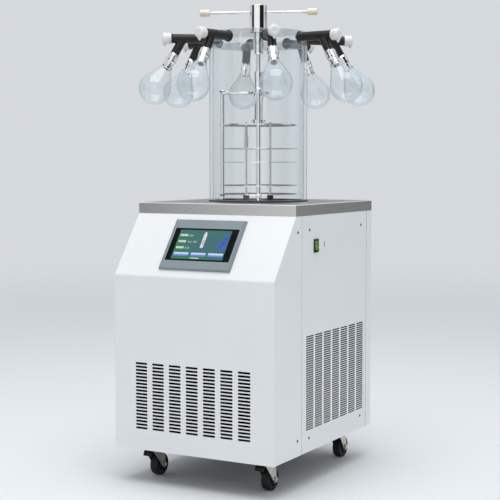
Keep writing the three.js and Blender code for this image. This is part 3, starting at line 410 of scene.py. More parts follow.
def on_body(piece, material, body, slot, *nodes):
    """Gives a piece its finish, its body and the plain solids that it stands for; its slot is not used. Its long faces
    keep their own normals."""
    refinish(piece, material)
    worked(piece, "WEIGHTED_NORMAL", mode="FACE_AREA", weight=80, keep_sharp=True)
    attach(piece, body)
    if nodes:
        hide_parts(*nodes)
    return piece


AXLE_Y, AXLE_Z = 26, 31.5  # from the swivel axis and from the floor
PIN_Y, PIN_Z = -20, 79  # the pedal's pin
FORK_TOP = 83.7
AXLE, PIN = (at(0, y, z) @ turn(90, "Y") for y, z in ((AXLE_Y, AXLE_Z), (PIN_Y, PIN_Z)))


def caster_fork(front_edge):
    """A fork about its swivel axis, with a crown that reaches forward to front_edge."""
    cheek = [(front_edge, FORK_TOP), (front_edge, 76.5), *arc((AXLE_Y, AXLE_Z), 9, 200, 348, 8), (28.5, 76),
             (28.5, FORK_TOP)]
    fork = profiled("fork", cheek, -17, 17)
    fork = eased(cut(fork, block("between_cheeks", (-14, -60, 10), (14, 60, FORK_TOP - 3), 1.5)), 0.9, 50)
    race = turned("race", [(19.5, 83), (21.4, 84.2), (22, 86.2), (20.8, 87.3), (20.8, 88), (22, 88.8), (22, 91),
                           (21.2, 91.7)])
    return joined("fork", smoothed(fork), race, turned("kingpin", [(7, 76), (7.6, 77.4), (7.6, 81)], sides=24))


axle_parts = [turned("shank", [(3.9, -20), (3.9, 22.2), (3.2, 23)], sides=24)]
for flip, sides, head_rings in ((0, 6, [(7.1, 18), (7.6, 18.5), (7.6, 20.8), (6.8, 21.6)]),
                                (180, 24, [(7.3, 18), (7.3, 19.6), (5.6, 21.2), (2, 21.8)])):
    washer = turned("washer", [(9, 17), (9, 18.2)], sides=28)
    head = turned("head", head_rings, sides=sides, angle=20)
    axle_parts += [moved(part, turn(flip, "X")) for part in (washer, head)]
axle = moved(joined("axle_bolt", *axle_parts), AXLE)

tyre_rings = [(21, -9.5), (27.5, -11.8), (29.8, -11), (31, -8.5), (31.5, -4), (31.5, 4), (31, 8.5), (29.8, 11),
              (27.5, 11.8), (21, 9.5), (21, -9.5)]
tyre = moved(turned("tyre", tyre_rings, sides=72), AXLE)
hub_rings = [(4.6, -12.4), (9.4, -12.4), (10.2, -10.4), (11, -7.6), (18.5, -6.8), (19.6, -9.6), (21.4, -9.8),
             (21.4, 9.8), (19.6, 9.6), (18.5, 6.8), (11, 7.6), (10.2, 10.4), (9.4, 12.4), (4.6, 12.4), (4.6, -12.4)]
spoke = block("spoke", (10, -1.2, -9.2), (19.6, 1.2, 9.2), 0.6)
spokes = copies("spokes", spoke, [turn(60 * step, "Z") for step in range(6)])
hub = moved(joined("hub", turned("hub", hub_rings), spokes), AXLE)

pedal_line = [(PIN_Y + 3, 75.2), (-24.5, 75.8), (-28, 74), (-30.4, 70.6), (-31.8, 64.2), (-35.2, 64.8), (-34.2, 72.6),
              (-30.8, 77.8), (-26.2, 81), (PIN_Y + 3, 82.8)]
pedal = cut(profiled("pedal", pedal_line, -13.2, 13.2), block("toe_slot", (-7.5, -40, 67), (7.5, -31, 73.4), 1.2))
barrel_rings = [(2.6, -13.4), (4.9, -13.4), (5.2, -13), (5.2, 13), (4.9, 13.4), (2.6, 13.4), (2.6, -13.4)]
barrel = moved(turned("barrel", barrel_rings, sides=28), PIN)
pedal = joined("pedal", smoothed(eased(pedal, 0.8, 40)), barrel)
pin = moved(turned("pin", [(1.9, -17.6), (1.9, 17.6)], sides=20), PIN)
braked_fork, plain_fork = joined("fork", caster_fork(-24), pin), caster_fork(-15.4)

rubber = finish("wheel_rubber", (0.012, 0.0115, 0.011), 0.6, patches=(60, 0.35), gloss=(80, 0.12), relief=(1500, 0.10),
                Specular_IOR_Level=0.3)
hub_plastic = finish("hub_plastic", (0.020, 0.017, 0.015), 0.45, patches=(40, 0.25), gloss=(60, 0.08),
                     relief=(900, 0.06), Specular_IOR_Level=0.3)
bright_zinc = finish("bright_zinc", (0.76, 0.75, 0.72), 0.2, 1.0, patches=(90, 0.08), gloss=(150, 0.07),
                     relief=(900, 0.04))
pedal_plastic = finish("pedal_plastic", (0.012, 0.012, 0.012), 0.42, patches=(50, 0.3), relief=(1200, 0.08),
                       Specular_IOR_Level=0.3)
for place_x, side in ((-178, "left"), (178, "right")):
    for place_y, row in ((-270.134, "front"), (176.866, "rear")):
        caster = f"{row}_{side}"
        parts = [(braked_fork if row == "front" else plain_fork, "fork", zinc, "swivel", "zinc", "caster_fork"),
                 (axle, "axle_bolt", bright_zinc, "swivel", "zinc", "caster_fork"),
                 (tyre, "tyre", rubber, "wheel", "wheel_rubber", "caster_wheel"),
                 (hub, "wheel_hub", hub_plastic, "wheel", "black_plastic", "caster_wheel")]
        if row == "front":
            parts.append((pedal, "pedal", pedal_plastic, "pedal", "black_plastic", "brake_pedal"))
        for model, name, material, body, slot, node in parts:
            piece = copy_of(model, f"{name}_{caster}", at(place_x, place_y, 0))
            on_body(piece, material, f"{body}_{caster}", slot, f"{node}_{caster}")
discard(tyre, hub, axle, pedal, braked_fork, plain_fork)

# ---------------------------------------------------------------- Cold trap
# The cold trap is a deep-drawn stainless cup whose flange is clamped under the worktop. A stainless vacuum line is
# welded into its wall, and leaves through the rear cover with a flange for a hose clamp.

AXIS_Y = 14.616  # axis of the chamber, from front to rear
PIPE_Z = 701
PIPE = at(0, AXIS_Y, PIPE_Z) @ turn(-90, "X")
cup_rings = [(60, 569.2), (93, 569.6), (99.5, 572.4), (101.5, 579), (101.5, 764), (103.5, 767.2), (125.8, 767.2),
             (126.5, 768.2), (125.8, 769.2), (103, 769.2), (101, 768.3), (100, 766), (100, 579), (98, 573.6),
             (92, 571.2), (60, 570.8), (0.05, 570.8)]
outlet = moved(turned("outlet", [(12.5, 50), (12.5, 120)]), at(0, 0, PIPE_Z) @ turn(-90, "X"))
cup = moved(smoothed(cut(turned("cup", cup_rings, sides=96), outlet), 30), at(0, AXIS_Y, 0))
pipe_rings = [(12.5, 101), (14, 101), (14, 248.6), (17, 248.7), (20, 249.2), (20, 253.2), (14.6, 254), (14, 255),
              (14, 266), (15.6, 267.4), (20, 271), (20, 273.2), (13.6, 273.2), (12.5, 272), (12.5, 101)]
pipe = moved(turned("pipe", pipe_rings, sides=64), PIPE)
drawn_steel = finish("drawn_stainless", (0.62, 0.61, 0.60), 0.24, 1.0, patches=(20, 0.06), gloss=(35, 0.07),
                     relief=(90, 0.05), stretch=(1, 1, 8))
on_body(cup, drawn_steel, "cabinet", "stainless", "cold_trap")
on_body(pipe, drawn_steel, "cabinet", "stainless", "vacuum_pipe")

# ---------------------------------------------------------------- Compressor
# The sealed compressor is two steel shells welded round the middle and enamelled black. It stands on a foot plate with
# four rubber mounts, and has its terminal box and two copper stubs.

MOUNT_OUT = 62  # mounts from the compressor's middle, both ways along the foot plate
compressor_low, compressor_high = box_of("compressor")
foot_middle = (compressor_low + compressor_high) / 2
COMPRESSOR = at(foot_middle.x, foot_middle.y, compressor_low.z)
shell_rings = [(44, 3), (60, 4), (67, 9), (70, 18), (70, 92), (71.6, 94), (71.6, 99), (70, 101), (70, 158), (68, 171),
               (62, 180), (50, 186.5), (30, 189.3), (0.05, 190)]
can = joined("compressor_shell", turned("shell", shell_rings, sides=64), block("foot", (-75, -75, 0), (75, 75, 3), 1.2),
             smoothed(block("terminals", (-22, -75, 62), (22, -64, 104), 3, 3)))
mount = turned("mount", [(9, -0.2), (9.5, 1.4), (7.6, 4), (9, 6.6), (8, 8)], sides=28)
mounts = copies("compressor_mounts", mount, [at(x * MOUNT_OUT, y * MOUNT_OUT, 0) for x in (-1, 1) for y in (-1, 1)])
stub = turned("stub", [(4, 176), (4, 193), (3, 193.6)], sides=24)
stubs = copies("compressor_stubs", stub, [at(x, 22, 0) for x in (-24, 20)])
enamel = finish("black_enamel", (0.014, 0.014, 0.016), 0.26, patches=(25, 0.3), gloss=(30, 0.08), relief=(300, 0.06))
copper = finish("copper", (0.76, 0.36, 0.22), 0.3, 1.0, patches=(60, 0.15), gloss=(60, 0.1), relief=(500, 0.04))
for piece, material, slot in ((can, enamel, "compressor_iron"), (mounts, rubber, "black_rubber"),
                              (stubs, copper, "compressor_iron")):
    on_body(moved(piece, COMPRESSOR), material, "cabinet", slot)
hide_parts("compressor")

# ---------------------------------------------------------------- Condenser and fan
# Copper tubes run through a stack of thin fins between two end plates, all dipped in black paint, whose near-black
# also stands as painted shade for the dark seen through the side slots. A bracket behind the core carries the motor of
# a five-bladed fan, which draws air in through the side cover.


def pick(kind, test):
    """Selects the corners, edges or faces whose middle, and the part itself, pass a test."""
    mesh = bmesh.from_edit_mesh(bpy.context.edit_object.data)
    bpy.ops.mesh.select_mode(type=kind)
    bpy.ops.mesh.select_all(action="DESELECT")
    for part in {"VERT": mesh.verts, "EDGE": mesh.edges, "FACE": mesh.faces}[kind]:
        points = [part.co] if kind == "VERT" else [corner.co for corner in part.verts]
        part.select_set(bool(test(sum(points, Vector()) / len(points) / MM, part)))
    mesh.select_flush_mode()
    bmesh.update_edit_mesh(bpy.context.edit_object.data)


def bevelled(piece, test, offset, segments=1, **settings):
    """Bevels the edges whose middle and whose run along each axis pass a test, in millimetres."""
    edit(piece)
    pick("EDGE", lambda middle, line: test(middle, (line.verts[1].co - line.verts[0].co) / MM))
    bpy.ops.mesh.bevel(offset=offset * MM, segments=segments, affect="EDGES", **settings)
    return piece


def repeated(piece, count, *step):
    """Repeats a piece by a step, in millimetres."""
    return worked(piece, "ARRAY", count=count, use_relative_offset=False, use_constant_offset=True,
                  constant_offset_displace=Vector(step) * MM)


CORE = at(214.7, 14.866, 285)  # middle of the core's outer face
TUBE_LAYERS, TUBE_ROWS, TUBE_PITCH, LOWEST_TUBE = (-11, -29), 8, 30, -105
TUBE_RADIUS, TUBE_REACH = 4.8, 168
FAN_BLADES, BLADE_PITCH, BLADE_TWIST = 5, 30, -14
fins = repeated(block("fins", (-39, -160, -122), (-1, -159.4, 122)), 65, 0, 5, 0)
tubes = []
for layer_x in TUBE_LAYERS:
    for row in range(TUBE_ROWS):
        height = LOWEST_TUBE + row * TUBE_PITCH
        tube = turned("tube", [(TUBE_RADIUS, -TUBE_REACH), (TUBE_RADIUS, TUBE_REACH)], sides=16)
        tubes.append(moved(tube, at(layer_x, 0, height) @ turn(90, "X")))
        if row + 1 < TUBE_ROWS:
            clear()
            bpy.ops.mesh.primitive_circle_add(vertices=16, radius=TUBE_RADIUS * MM, rotation=(math.pi / 2, 0, 0),
                                              location=(0, 0, TUBE_PITCH / 2 * MM))
            bpy.ops.object.transform_apply(location=True, rotation=True)
            bend = edit(named("bend"))
            bpy.ops.mesh.spin(steps=8, angle=math.pi, center=(0, 0, 0), axis=(1, 0, 0))
            edit(bend)
            bpy.ops.mesh.fill_holes(sides=16)
            end = 1 if row % 2 else -1
            there = at(layer_x, end * TUBE_REACH, height + TUBE_PITCH / 2) @ turn(0 if end > 0 else 180, "Z")
            tubes.append(moved(smoothed(bend), there))
plates = [block("end_plate", (-40, side * 165 - 1, -186.7), (0, side * 165 + 1, 125), 0.4) for side in (-1, 1)]
plates += [block("rail", (-40, -165, z), (0, 165, z + 2), 0.4) for z in (-125, 123)]
motor_rings = [(20, -112), (30, -111), (32, -108), (32, -80), (30, -77), (12, -76), (10, -73), (3.9, -73), (3.9, -50)]
bracket = [moved(turned("motor", motor_rings, sides=40), turn(90, "Y")),
           block("strap", (-112, -12, -125), (-108, 12, 125), 1.2), block("arm", (-112, -12, 117), (-38, 12, 121), 1.2),
           block("arm", (-112, -12, -121), (-38, 12, -117), 1.2)]
hub_rings = [(4.7, -10), (18, -10), (21, -8.5), (22, -5), (22, 8), (20.5, 10), (4.7, 10), (4.7, -10)]
paddle = bevelled(block("paddle", (18, -27, -0.9), (103, 27, 0.9), 0.6),
                  lambda middle, run: abs(run.z) > 0.3 and middle.x > 60, 13, 4)
for cut_x in range(28, 100, 12):
    edit(paddle)
    bpy.ops.mesh.bisect(plane_co=(cut_x * MM, 0, 0), plane_no=(1, 0, 0))
paddle = worked(paddle, "SIMPLE_DEFORM", deform_method="TWIST", deform_axis="X", angle=math.radians(BLADE_TWIST))
paddle_turns = [turn(360 / FAN_BLADES * blade, "Z") @ turn(BLADE_PITCH, "X") for blade in range(FAN_BLADES)]
paddles = copies("paddles", smoothed(paddle), paddle_turns)
fan = joined("fan_wheel", turned("fan_hub", hub_rings, sides=40), paddles)
# Black paint on the fins, whose near-black also serves as painted shade behind the side slots.
fin_paint_and_shade = finish("fin_paint_and_shade", (0.020, 0.021, 0.023), 0.5, 0.3, patches=(40, 0.3), gloss=(60, 0.1), relief=(600, 0.05))
for piece, material in ((joined("condenser_fins", fins), fin_paint_and_shade), (joined("condenser_tubes", *tubes), copper),
                        (joined("condenser_plates", *plates), fin_paint_and_shade), (joined("fan_motor", *bracket), enamel)):
    on_body(moved(piece, CORE), material, "cabinet", "condenser_fins", "condenser")
on_body(moved(fan, CORE @ at(-60, 0, 0) @ turn(90, "Y")), pedal_plastic, "fan", "black_plastic", "condenser_fan")

# ---------------------------------------------------------------- Covers
# Four covers of 1.5 mm steel sheet close the cabinet. They are folded at the corners, with a narrow return flange at
# each seam and powder-coated off-white outside. Their inner faces are near black, as painted shade for the cabinet's
# dark inside seen through the slots. Rows of cooling slots are punched in them.

SHEET, FLANGE, FRONT_BEND, SIDE_BEND = 1.5, 10, 3.2, 2.0
front_low, front_high = box_of("front_cover")
FRONT_Y, SIDE_X, COVER_LOW, COVER_TOP = front_low.y, front_high.x, front_low.z, front_high.z
CHEEK_END = front_high.y
FRONT_OUT = 356.134  # front face ahead of the middle
CONSOLE_Z = 576  # where the console starts to lean back
top_low, top_high = box_of("worktop")


def bent_sheet(solid, is_open, bend, flange_y=None):
    """Folded sheet over a solid: its open faces go, flanges turn in, the folds are rounded and it gets its gauge."""
    edit(solid)
    pick("FACE", lambda middle, face: is_open(face.normal))
    bpy.ops.mesh.delete(type="FACE")
    for side in (1, -1) if flange_y else ():
        pick("EDGE", lambda middle, line: line.is_boundary and abs(middle.x - side * SIDE_X) < 0.1
             and abs(middle.y - flange_y) < 0.1)
        bpy.ops.mesh.extrude_edges_move(TRANSFORM_OT_translate={"value": (-side * FLANGE * MM, 0, 0)})
    edit(solid)
    bpy.ops.mesh.normals_make_consistent(inside=False)
    return worked(eased(solid, bend, 25, 4), "SOLIDIFY", thickness=SHEET * MM, offset=-1, use_even_offset=True)


def slot_grid(size, columns, rows, middle, quarter_turns=0):
    """Cutters for a grid of slots with rounded corners: size is (width, height), columns and rows (count, pitch)."""
    (width, height), (columns, pitch_across), (rows, pitch_up) = size, columns, rows
    slot = block("slot", (-width / 2, -8, -height / 2), (width / 2, 8, height / 2))
    slot = bevelled(slot, lambda centre, run: abs(run.y) > 10, 0.32 * height, 2)
    slot = repeated(repeated(slot, columns, pitch_across, 0, 0), rows, 0, 0, pitch_up)
    start = Vector((-(columns - 1) * pitch_across / 2, 0, -(rows - 1) * pitch_up / 2)) * MM
    there = Matrix.Translation(Vector(middle) * MM) @ turn(90 * quarter_turns, "Z")
    return moved(slot, there @ Matrix.Translation(start))


def hole(middle, *reach):
    """A cutter through a panel: its middle, and how far it reaches both ways along each axis."""
    return block("hole", [a - b for a, b in zip(middle, reach)], [a + b for a, b in zip(middle, reach)])


def crisp(piece):
    """Smooths the folds of a sheet and keeps its panels flat."""
    return worked(shaded(piece, 40), "WEIGHTED_NORMAL", mode="FACE_AREA", weight=80, keep_sharp=True)


front_line = [(FRONT_Y, COVER_LOW), (FRONT_Y, CONSOLE_Z), (top_low.y, COVER_TOP), (CHEEK_END, COVER_TOP),
              (CHEEK_END, COVER_LOW)]
front = bent_sheet(profiled("front_panel", front_line, -SIDE_X, SIDE_X),
                   lambda normal: normal.y > 0.9 or abs(normal.z) > 0.9, FRONT_BEND, CHEEK_END)
CONSOLE_LEAN = math.degrees(math.atan2(COVER_TOP - CONSOLE_Z, top_low.y - FRONT_Y))
CONSOLE = at(0, FRONT_Y, CONSOLE_Z) @ turn(CONSOLE_LEAN, "X")  # X to the right, Y up the slope, Z out of it
SCREEN_Y = 103.5  # middle of the screen's bezel up the slope
screen_hole = moved(hole((0, SCREEN_Y, 0), 97.3, 66.8, 9), CONSOLE)
front_slots = slot_grid((37.8, 5.9), (7, 53.8), (20, 9.4), (0, FRONT_Y, COVER_LOW + 150))
front = crisp(cut(front, front_slots, screen_hole))

SWITCH_Y, SWITCH_Z = 242 - FRONT_OUT, 657
LOUVRE_Y, LOUVRE_Z = 372.5 - FRONT_OUT, 284.5
right = bent_sheet(block("right_panel", *box_of("right_side_cover")),
                   lambda normal: normal.x < -0.9 or abs(normal.z) > 0.9, SIDE_BEND)
side_slots = slot_grid((46, 3.9), (7, 54.7), (42, 6.21), (SIDE_X, LOUVRE_Y, LOUVRE_Z), 1)
right = crisp(cut(right, side_slots, hole((SIDE_X, SWITCH_Y, SWITCH_Z), 5, 10.3, 16.3)))
left = crisp(bent_sheet(block("left_panel", *box_of("left_side_cover")),
                        lambda normal: normal.x > 0.9 or abs(normal.z) > 0.9, SIDE_BEND))

rear_low, rear_high = box_of("rear_cover")
REAR_Y, INLET_X, INLET_Z = rear_high.y, -150, 165
rear = bent_sheet(block("rear_panel", rear_low, rear_high),
                  lambda normal: normal.y < -0.9 or abs(normal.z) > 0.9, FRONT_BEND, rear_low.y)
rear_slots = slot_grid((46, 4), (3, 60), (10, 12), (0, REAR_Y, COVER_LOW + 330))
pipe_hole = moved(turned("pipe_hole", [(14.6, -9), (14.6, 9)]), at(0, REAR_Y, PIPE_Z) @ turn(90, "X"))
rear = crisp(cut(rear, rear_slots, pipe_hole, hole((INLET_X, REAR_Y, INLET_Z), 24.3, 9, 14.3)))

paint = finish("powder_coat", (0.80, 0.81, 0.815), 0.36, patches=(5, 0.012), gloss=(25, 0.05), relief=(420, 0.05))
# The covers' inner faces get a near-black finish: painted shade for the dark inside of the cabinet, seen through the
# slots.
inner_shade = finish("black_inner_shade", (0.012, 0.012, 0.013), 0.85, patches=(60, 0.3), gloss=(60, 0.05), relief=(500, 0.3))
CABINET_MIDDLE, SMALLEST_SHADED_FACE = Vector((0, 0, 0.4)), 8e-5  # in metres and square metres
for piece, node in ((front, "front_cover"), (right, "right_side_cover"), (left, "left_side_cover"),
                    (rear, "rear_cover")):
    on_body(piece, paint, "cabinet", "cabinet_paint", node)
    piece.data.materials.append(inner_shade)
    for face in piece.data.polygons:
        if face.area > SMALLEST_SHADED_FACE and face.normal.dot(face.center - CABINET_MIDDLE) < 0:
            face.material_index = 1

screw = turned("screw", [(3.6, -0.2), (3.6, 0.5), (3.2, 1.1), (2.3, 1.6), (1.1, 1.85), (0.05, 1.9)], sides=28)
screw = cut(screw, *(block("recess", (-x, -y, 0.7), (x, y, 3)) for x, y in ((2.1, 0.35), (0.35, 2.1))))
side_screws = [(134, 698), (134, 137), (203, 702), (203, 133), (540, 701), (540, 135)]
screws = {
    "right_cover_screws": [at(SIDE_X, y - FRONT_OUT, z) @ turn(90, "Y") for y, z in side_screws],
    "left_cover_screws": [at(-SIDE_X, y - FRONT_OUT, z) @ turn(-90, "Y") for y, z in side_screws],
    "rear_cover_screws": [at(x, REAR_Y, z) @ turn(-90, "X") for x in (-228, 0, 228) for z in (118, 722)],
}
dark_zinc = finish("dark_zinc", (0.085, 0.085, 0.09), 0.38, 0.9, patches=(200, 0.3), gloss=(200, 0.1),
                   relief=(1500, 0.05))
for name, places in screws.items():
    row = copies(name, copy_of(screw, name), [place @ turn(17 * count, "Z") for count, place in enumerate(places)])
    on_body(row, dark_zinc, "cabinet", "zinc")
discard(screw)

# ---------------------------------------------------------------- Worktop
# The worktop is one stainless sheet, brushed from left to right, with its skirt folded down all round over the covers.
# The upward faces of its folds are near white, a painted highlight along the edges. A round mouth in it opens into the
# cold trap.

TOP_Z = top_high.z
worktop = bent_sheet(block("worktop_sheet", top_low, top_high), lambda normal: normal.z < -0.9, 2.2)
mouth = moved(turned("mouth", [(100, -9), (100, 9)], sides=128), at(0, AXIS_Y, TOP_Z))
brushed = finish("brushed_stainless", (0.69, 0.68, 0.67), 0.30, 1.0, patches=(30, 0.02), gloss=(40, 0.03),
                 relief=(120, 0.04), stretch=(1, 28, 28))
worktop = on_body(crisp(cut(worktop, mouth)), brushed, "cabinet", "stainless", "worktop")
# The upward faces of the folds get a near-white finish: a painted highlight along the worktop's fold edges.
fold_highlight = finish("painted_fold_highlight", (0.97, 0.97, 0.97), 0.30, 0.2, patches=(30, 0.02), gloss=(40, 0.03),
                     relief=(120, 0.02))
worktop.data.materials.append(fold_highlight)
for face in worktop.data.polygons:
    if face.normal.z > 0.2 and max(abs(face.normal.x), abs(face.normal.y)) > 0.2:
        face.material_index = 1

# ---------------------------------------------------------------- Touch screen
# A grey moulded bezel clips into the console and holds a black glass with an LCD behind it. The display shows a green
# page with three readings, a drawing of a vial, a level bar and three keys.

GLASS_Y = SCREEN_Y - 1.5
PAGE_LEFT, PAGE_TOP, PAGE_WIDTH, PAGE_HEIGHT = -83, 149, 162, 94
PAGE_Z, PRINT_STEP, PRINT_GAUGE = 7.1, 0.05, 0.04  # face of the glass, and the prints' layers on it
KEY_TOP, KEY_HEIGHT = 0.78, 0.12

bezel = bevelled(block("bezel_rim", (-111, SCREEN_Y - 80.5, 0.3), (111, SCREEN_Y + 80.5, 7.3)),
                 lambda middle, run: middle.z > 7, 3.4, offset_type="WIDTH")
bezel = fused(eased(bezel, 0.5, 30), block("housing", (-97, SCREEN_Y - 66.5, -26), (97, SCREEN_Y + 66.5, 2), 1.5))
pocket = block("glass_pocket", (-100.4, GLASS_Y - 52.4, 5.7), (100.4, GLASS_Y + 52.4, 12))
grooves = [block("groove", (x - 0.7, SCREEN_Y - 82, 6.2), (x + 0.7, SCREEN_Y + 82, 9)) for x in (-107.2, 107.2)]
bezel = crisp(cut(bezel, pocket, *grooves))
glass = block("screen_pane", (-100, GLASS_Y - 52, 6.0), (100, GLASS_Y + 52, PAGE_Z), 0.3)
bezel_plastic = finish("bezel_plastic", (0.222, 0.258, 0.280), 0.42, patches=(20, 0.04), gloss=(50, 0.05),
                       relief=(1600, 0.05))
black_glass = finish("black_glass", (0.006, 0.007, 0.008), 0.12, patches=(30, 0.4), gloss=(18, 0.04), relief=(20, 0.01),
                     Specular_IOR_Level=0.05)


def on_page(left, top):
    """The place on the console of a share of the page's width and height."""
    return PAGE_LEFT + left * PAGE_WIDTH, PAGE_TOP - top * PAGE_HEIGHT


def tile(left, top, width, height, layer, rounding=0.0):
    """A thin plate on the page. Its place and size are shares of the page's width and height."""
    (x, y), (far_x, far_y), z = on_page(left, top), on_page(left + width, top + height), PAGE_Z + layer * PRINT_STEP
    plate = block("tile", (x, far_y, z), (far_x, y, z + PRINT_GAUGE))
    return bevelled(plate, lambda middle, run: abs(run.z) > 0.01, rounding, 3) if rounding else plate


def number(text, left, top, size, layer):
    """Figures on the page, cut from a flat font as thin plates."""
    clear()
    bpy.ops.object.text_add()
    words = bpy.context.object
    words.data.body, words.data.size, words.data.extrude = text, size * MM, PRINT_GAUGE / 2 * MM
    words.data.resolution_u = 3
    only(words)
    bpy.ops.object.convert(target="MESH")
    figures = edit(bpy.context.object)
    bpy.ops.mesh.remove_doubles(threshold=1e-6)
    return moved(figures, at(*on_page(left, top), PAGE_Z + PRINT_GAUGE / 2 + layer * PRINT_STEP))


page = [tile(0, 0, 1, 1, 0)]
labels = [tile(0.37, 0.945, 0.17, 0.028, 1, 0.5)]
for top, figures in ((0.148, ("25.0",)), (0.362, ("-45.0", "8.0")), (0.575, ("0.10",))):
    labels += [tile(0.03 + 0.038 * step, top, 0.031, 0.075, 1, 0.8) for step in range(4)]
    labels += [number(text, 0.20 + 0.13 * column, top + 0.075, 8, 1) for column, text in enumerate(figures)]
vial = [tile(0.485, 0.12, 0.062, 0.49, 1, 3), tile(0.50, 0.06, 0.032, 0.07, 1, 1)]
vial_fill = [tile(0.492, 0.33, 0.048, 0.17, 2, 1.5)]
level = [tile(0.84, 0.38, 0.135, 0.24, 1, 1), tile(0.90, 0.15, 0.06, 0.24, 1, 1)]
keys = [tile(left, KEY_TOP, 0.285, KEY_HEIGHT, 1, 1.2) for left in (0.028, 0.363, 0.697)]

page_print = finish("page_print", (0.026, 0.200, 0.150), 0.16, patches=(14, 0.25), gloss=(18, 0.03), relief=(20, 0.01),
                    Specular_IOR_Level=0.12)
field = page_print.node_tree.nodes["Color Ramp"].color_ramp.elements
field[0].color, field[1].color = (0.058, 0.135, 0.175, 1), (0.040, 0.185, 0.085, 1)
key_print = finish("key_print", (0.30, 0.42, 0.80), 0.2, patches=(60, 0.1), gloss=(18, 0.03))
nodes = key_print.node_tree.nodes
place = added(nodes, "TexCoord").outputs["Object"]
key_height = added(nodes, "SeparateXYZ", {"Vector": place}).outputs["Z"]
key_ends = [(CONSOLE @ Vector((0, on_page(0, top)[1] * MM, 7.15 * MM))).z for top in (KEY_TOP + KEY_HEIGHT, KEY_TOP)]
feed(nodes["Color Ramp"], {"Fac": spread(nodes, key_height, 0, 1, key_ends)})
for stop, (share, colour) in zip(nodes["Color Ramp"].color_ramp.elements,
                                 ((0.3, (0.10, 0.20, 0.58, 1)), (0.95, (0.74, 0.80, 0.92, 1)))):
    stop.position, stop.color = share, colour


def print_finish(name, colour, patches):
    return finish(name, colour, 0.2, patches=patches, gloss=(18, 0.03))


for name, parts, material in (
    ("display_page", page, page_print),
    ("display_readings", labels, print_finish("white_print", (0.66, 0.70, 0.52), (150, 0.12))),
    ("display_vial", vial, print_finish("vial_print", (0.66, 0.62, 0.66), (80, 0.10))),
    ("display_vial_fill", vial_fill, print_finish("fill_print", (0.62, 0.40, 0.44), (120, 0.15))),
    ("display_level", level, print_finish("level_print", (0.030, 0.090, 0.46), (60, 0.3))),
    ("display_keys", keys, key_print),
):
    on_body(moved(joined(name, *parts), CONSOLE), material, "cabinet", "screen_glass")
on_body(moved(bezel, CONSOLE), bezel_plastic, "cabinet", "grey_plastic", "screen_bezel")
on_body(moved(glass, CONSOLE), black_glass, "cabinet", "screen_glass", "screen_glass")

# ---------------------------------------------------------------- Power switch
# The rocker switch snaps into the side cover with a black rim. Its green rocker dips in the middle and has grip ribs
# on its lower half, and a small printed mark stands beside it.

SWITCH = at(SIDE_X, SWITCH_Y, SWITCH_Z)
ROCKER_TILT = -10
rim = bevelled(block("switch_rim", (0.3, -14.2, -18.4), (2.8, 14.2, 18.4)), lambda middle, run: middle.x > 2.7, 1.1, 3)
rim = fused(rim, block("switch_body", (-20, -10.2, -16), (1, 10.2, 16), 0.6))
rim = crisp(cut(rim, block("switch_pocket", (-18.5, -9.4, -15.4), (6, 9.4, 15.4), 0.5)))
valley = [(5.6 - 2.4 * (1 - (z / 13) ** 2), z) for z in range(13, -14, -2)]
rocker = eased(profiled("rocker", valley + [(-7.2, -9.1), (-7.2, 9.1)], -9, 9, "Y"), 0.5, 50)
ribs = [block("rib", (2.6 + 0.4 * step, -6, -5.4 - 2.2 * step), (4.3 + 0.5 * step, 6, -4.6 - 2.2 * step), 0.3)
        for step in range(3)]
rocker = smoothed(joined("rocker", rocker, *ribs))
mark = block("power_mark", (0, -1.6, -7.5), (0.12, 1.6, 7.5))
black_plastic = finish("black_plastic", (0.013, 0.013, 0.014), 0.38, patches=(60, 0.3), gloss=(60, 0.08),
                       relief=(1500, 0.06))
green_plastic = finish("green_plastic", (0.12, 0.27, 0.035), 0.24, patches=(90, 0.15), gloss=(80, 0.06),
                       relief=(1500, 0.03))
ink = finish("printed_ink", (0.02, 0.02, 0.022), 0.5, patches=(300, 0.3))
on_body(moved(rim, SWITCH), black_plastic, "cabinet", "black_plastic", "switch_frame")
on_body(moved(rocker, SWITCH @ turn(ROCKER_TILT, "Y")), green_plastic, "rocker", "green_plastic", "switch_rocker")
on_body(moved(mark, SWITCH @ at(0, 54, 1)), ink, "cabinet", "black_plastic")

# ---------------------------------------------------------------- Mains inlet
# The mains lead plugs into a black moulded inlet low on the rear cover. It has three flat brass pins in a socket with
# two cut corners, and is held by two countersunk screws.

INLET = at(INLET_X, REAR_Y, INLET_Z)
inlet = bevelled(block("inlet_rim", (-32, 0.3, -15.5), (32, 2.3, 15.5)), lambda middle, run: abs(run.y) > 1, 6, 5)
inlet = fused(inlet, block("inlet_body", (-24, -24, -14), (24, 1, 14), 0.8))
socket_line = [(-12, -8), (12, -8), (12, 3.5), (7.5, 8), (-7.5, 8), (-12, 3.5)]
inlet = crisp(cut(inlet, profiled("socket", socket_line, -16.8, 6, "Y")))
pins = [block("pin", (x - 1, -17, z - 2.2), (x + 1, -3, z + 2.2), 0.4)
        for x, z in ((-6.5, 2.2), (0, -3.4), (6.5, 2.2))]
fixing = turned("fixing", [(2.9, 0), (2.9, 0.25), (2.3, 0.7)], sides=28)
fixings = copies("inlet_screws", fixing, [at(x, 2.25, 0) @ turn(-90, "X") for x in (-28, 28)])
brass = finish("brass", (0.70, 0.52, 0.26), 0.28, 1.0, patches=(90, 0.1), gloss=(90, 0.08))
for piece, material, slot in ((inlet, black_plastic, "black_plastic"), (joined("inlet_pins", *pins), brass, "zinc"),
                              (fixings, bright_zinc, "zinc")):
    on_body(moved(piece, INLET), material, "cabinet", slot)
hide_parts("power_inlet")

# ---------------------------------------------------------------- Chamber
# A thick-walled clear acrylic cylinder stands in a black rubber gasket on the worktop. Its lid is a polished acrylic
# disc with eight bores in from the rim, each with one down into the chamber.


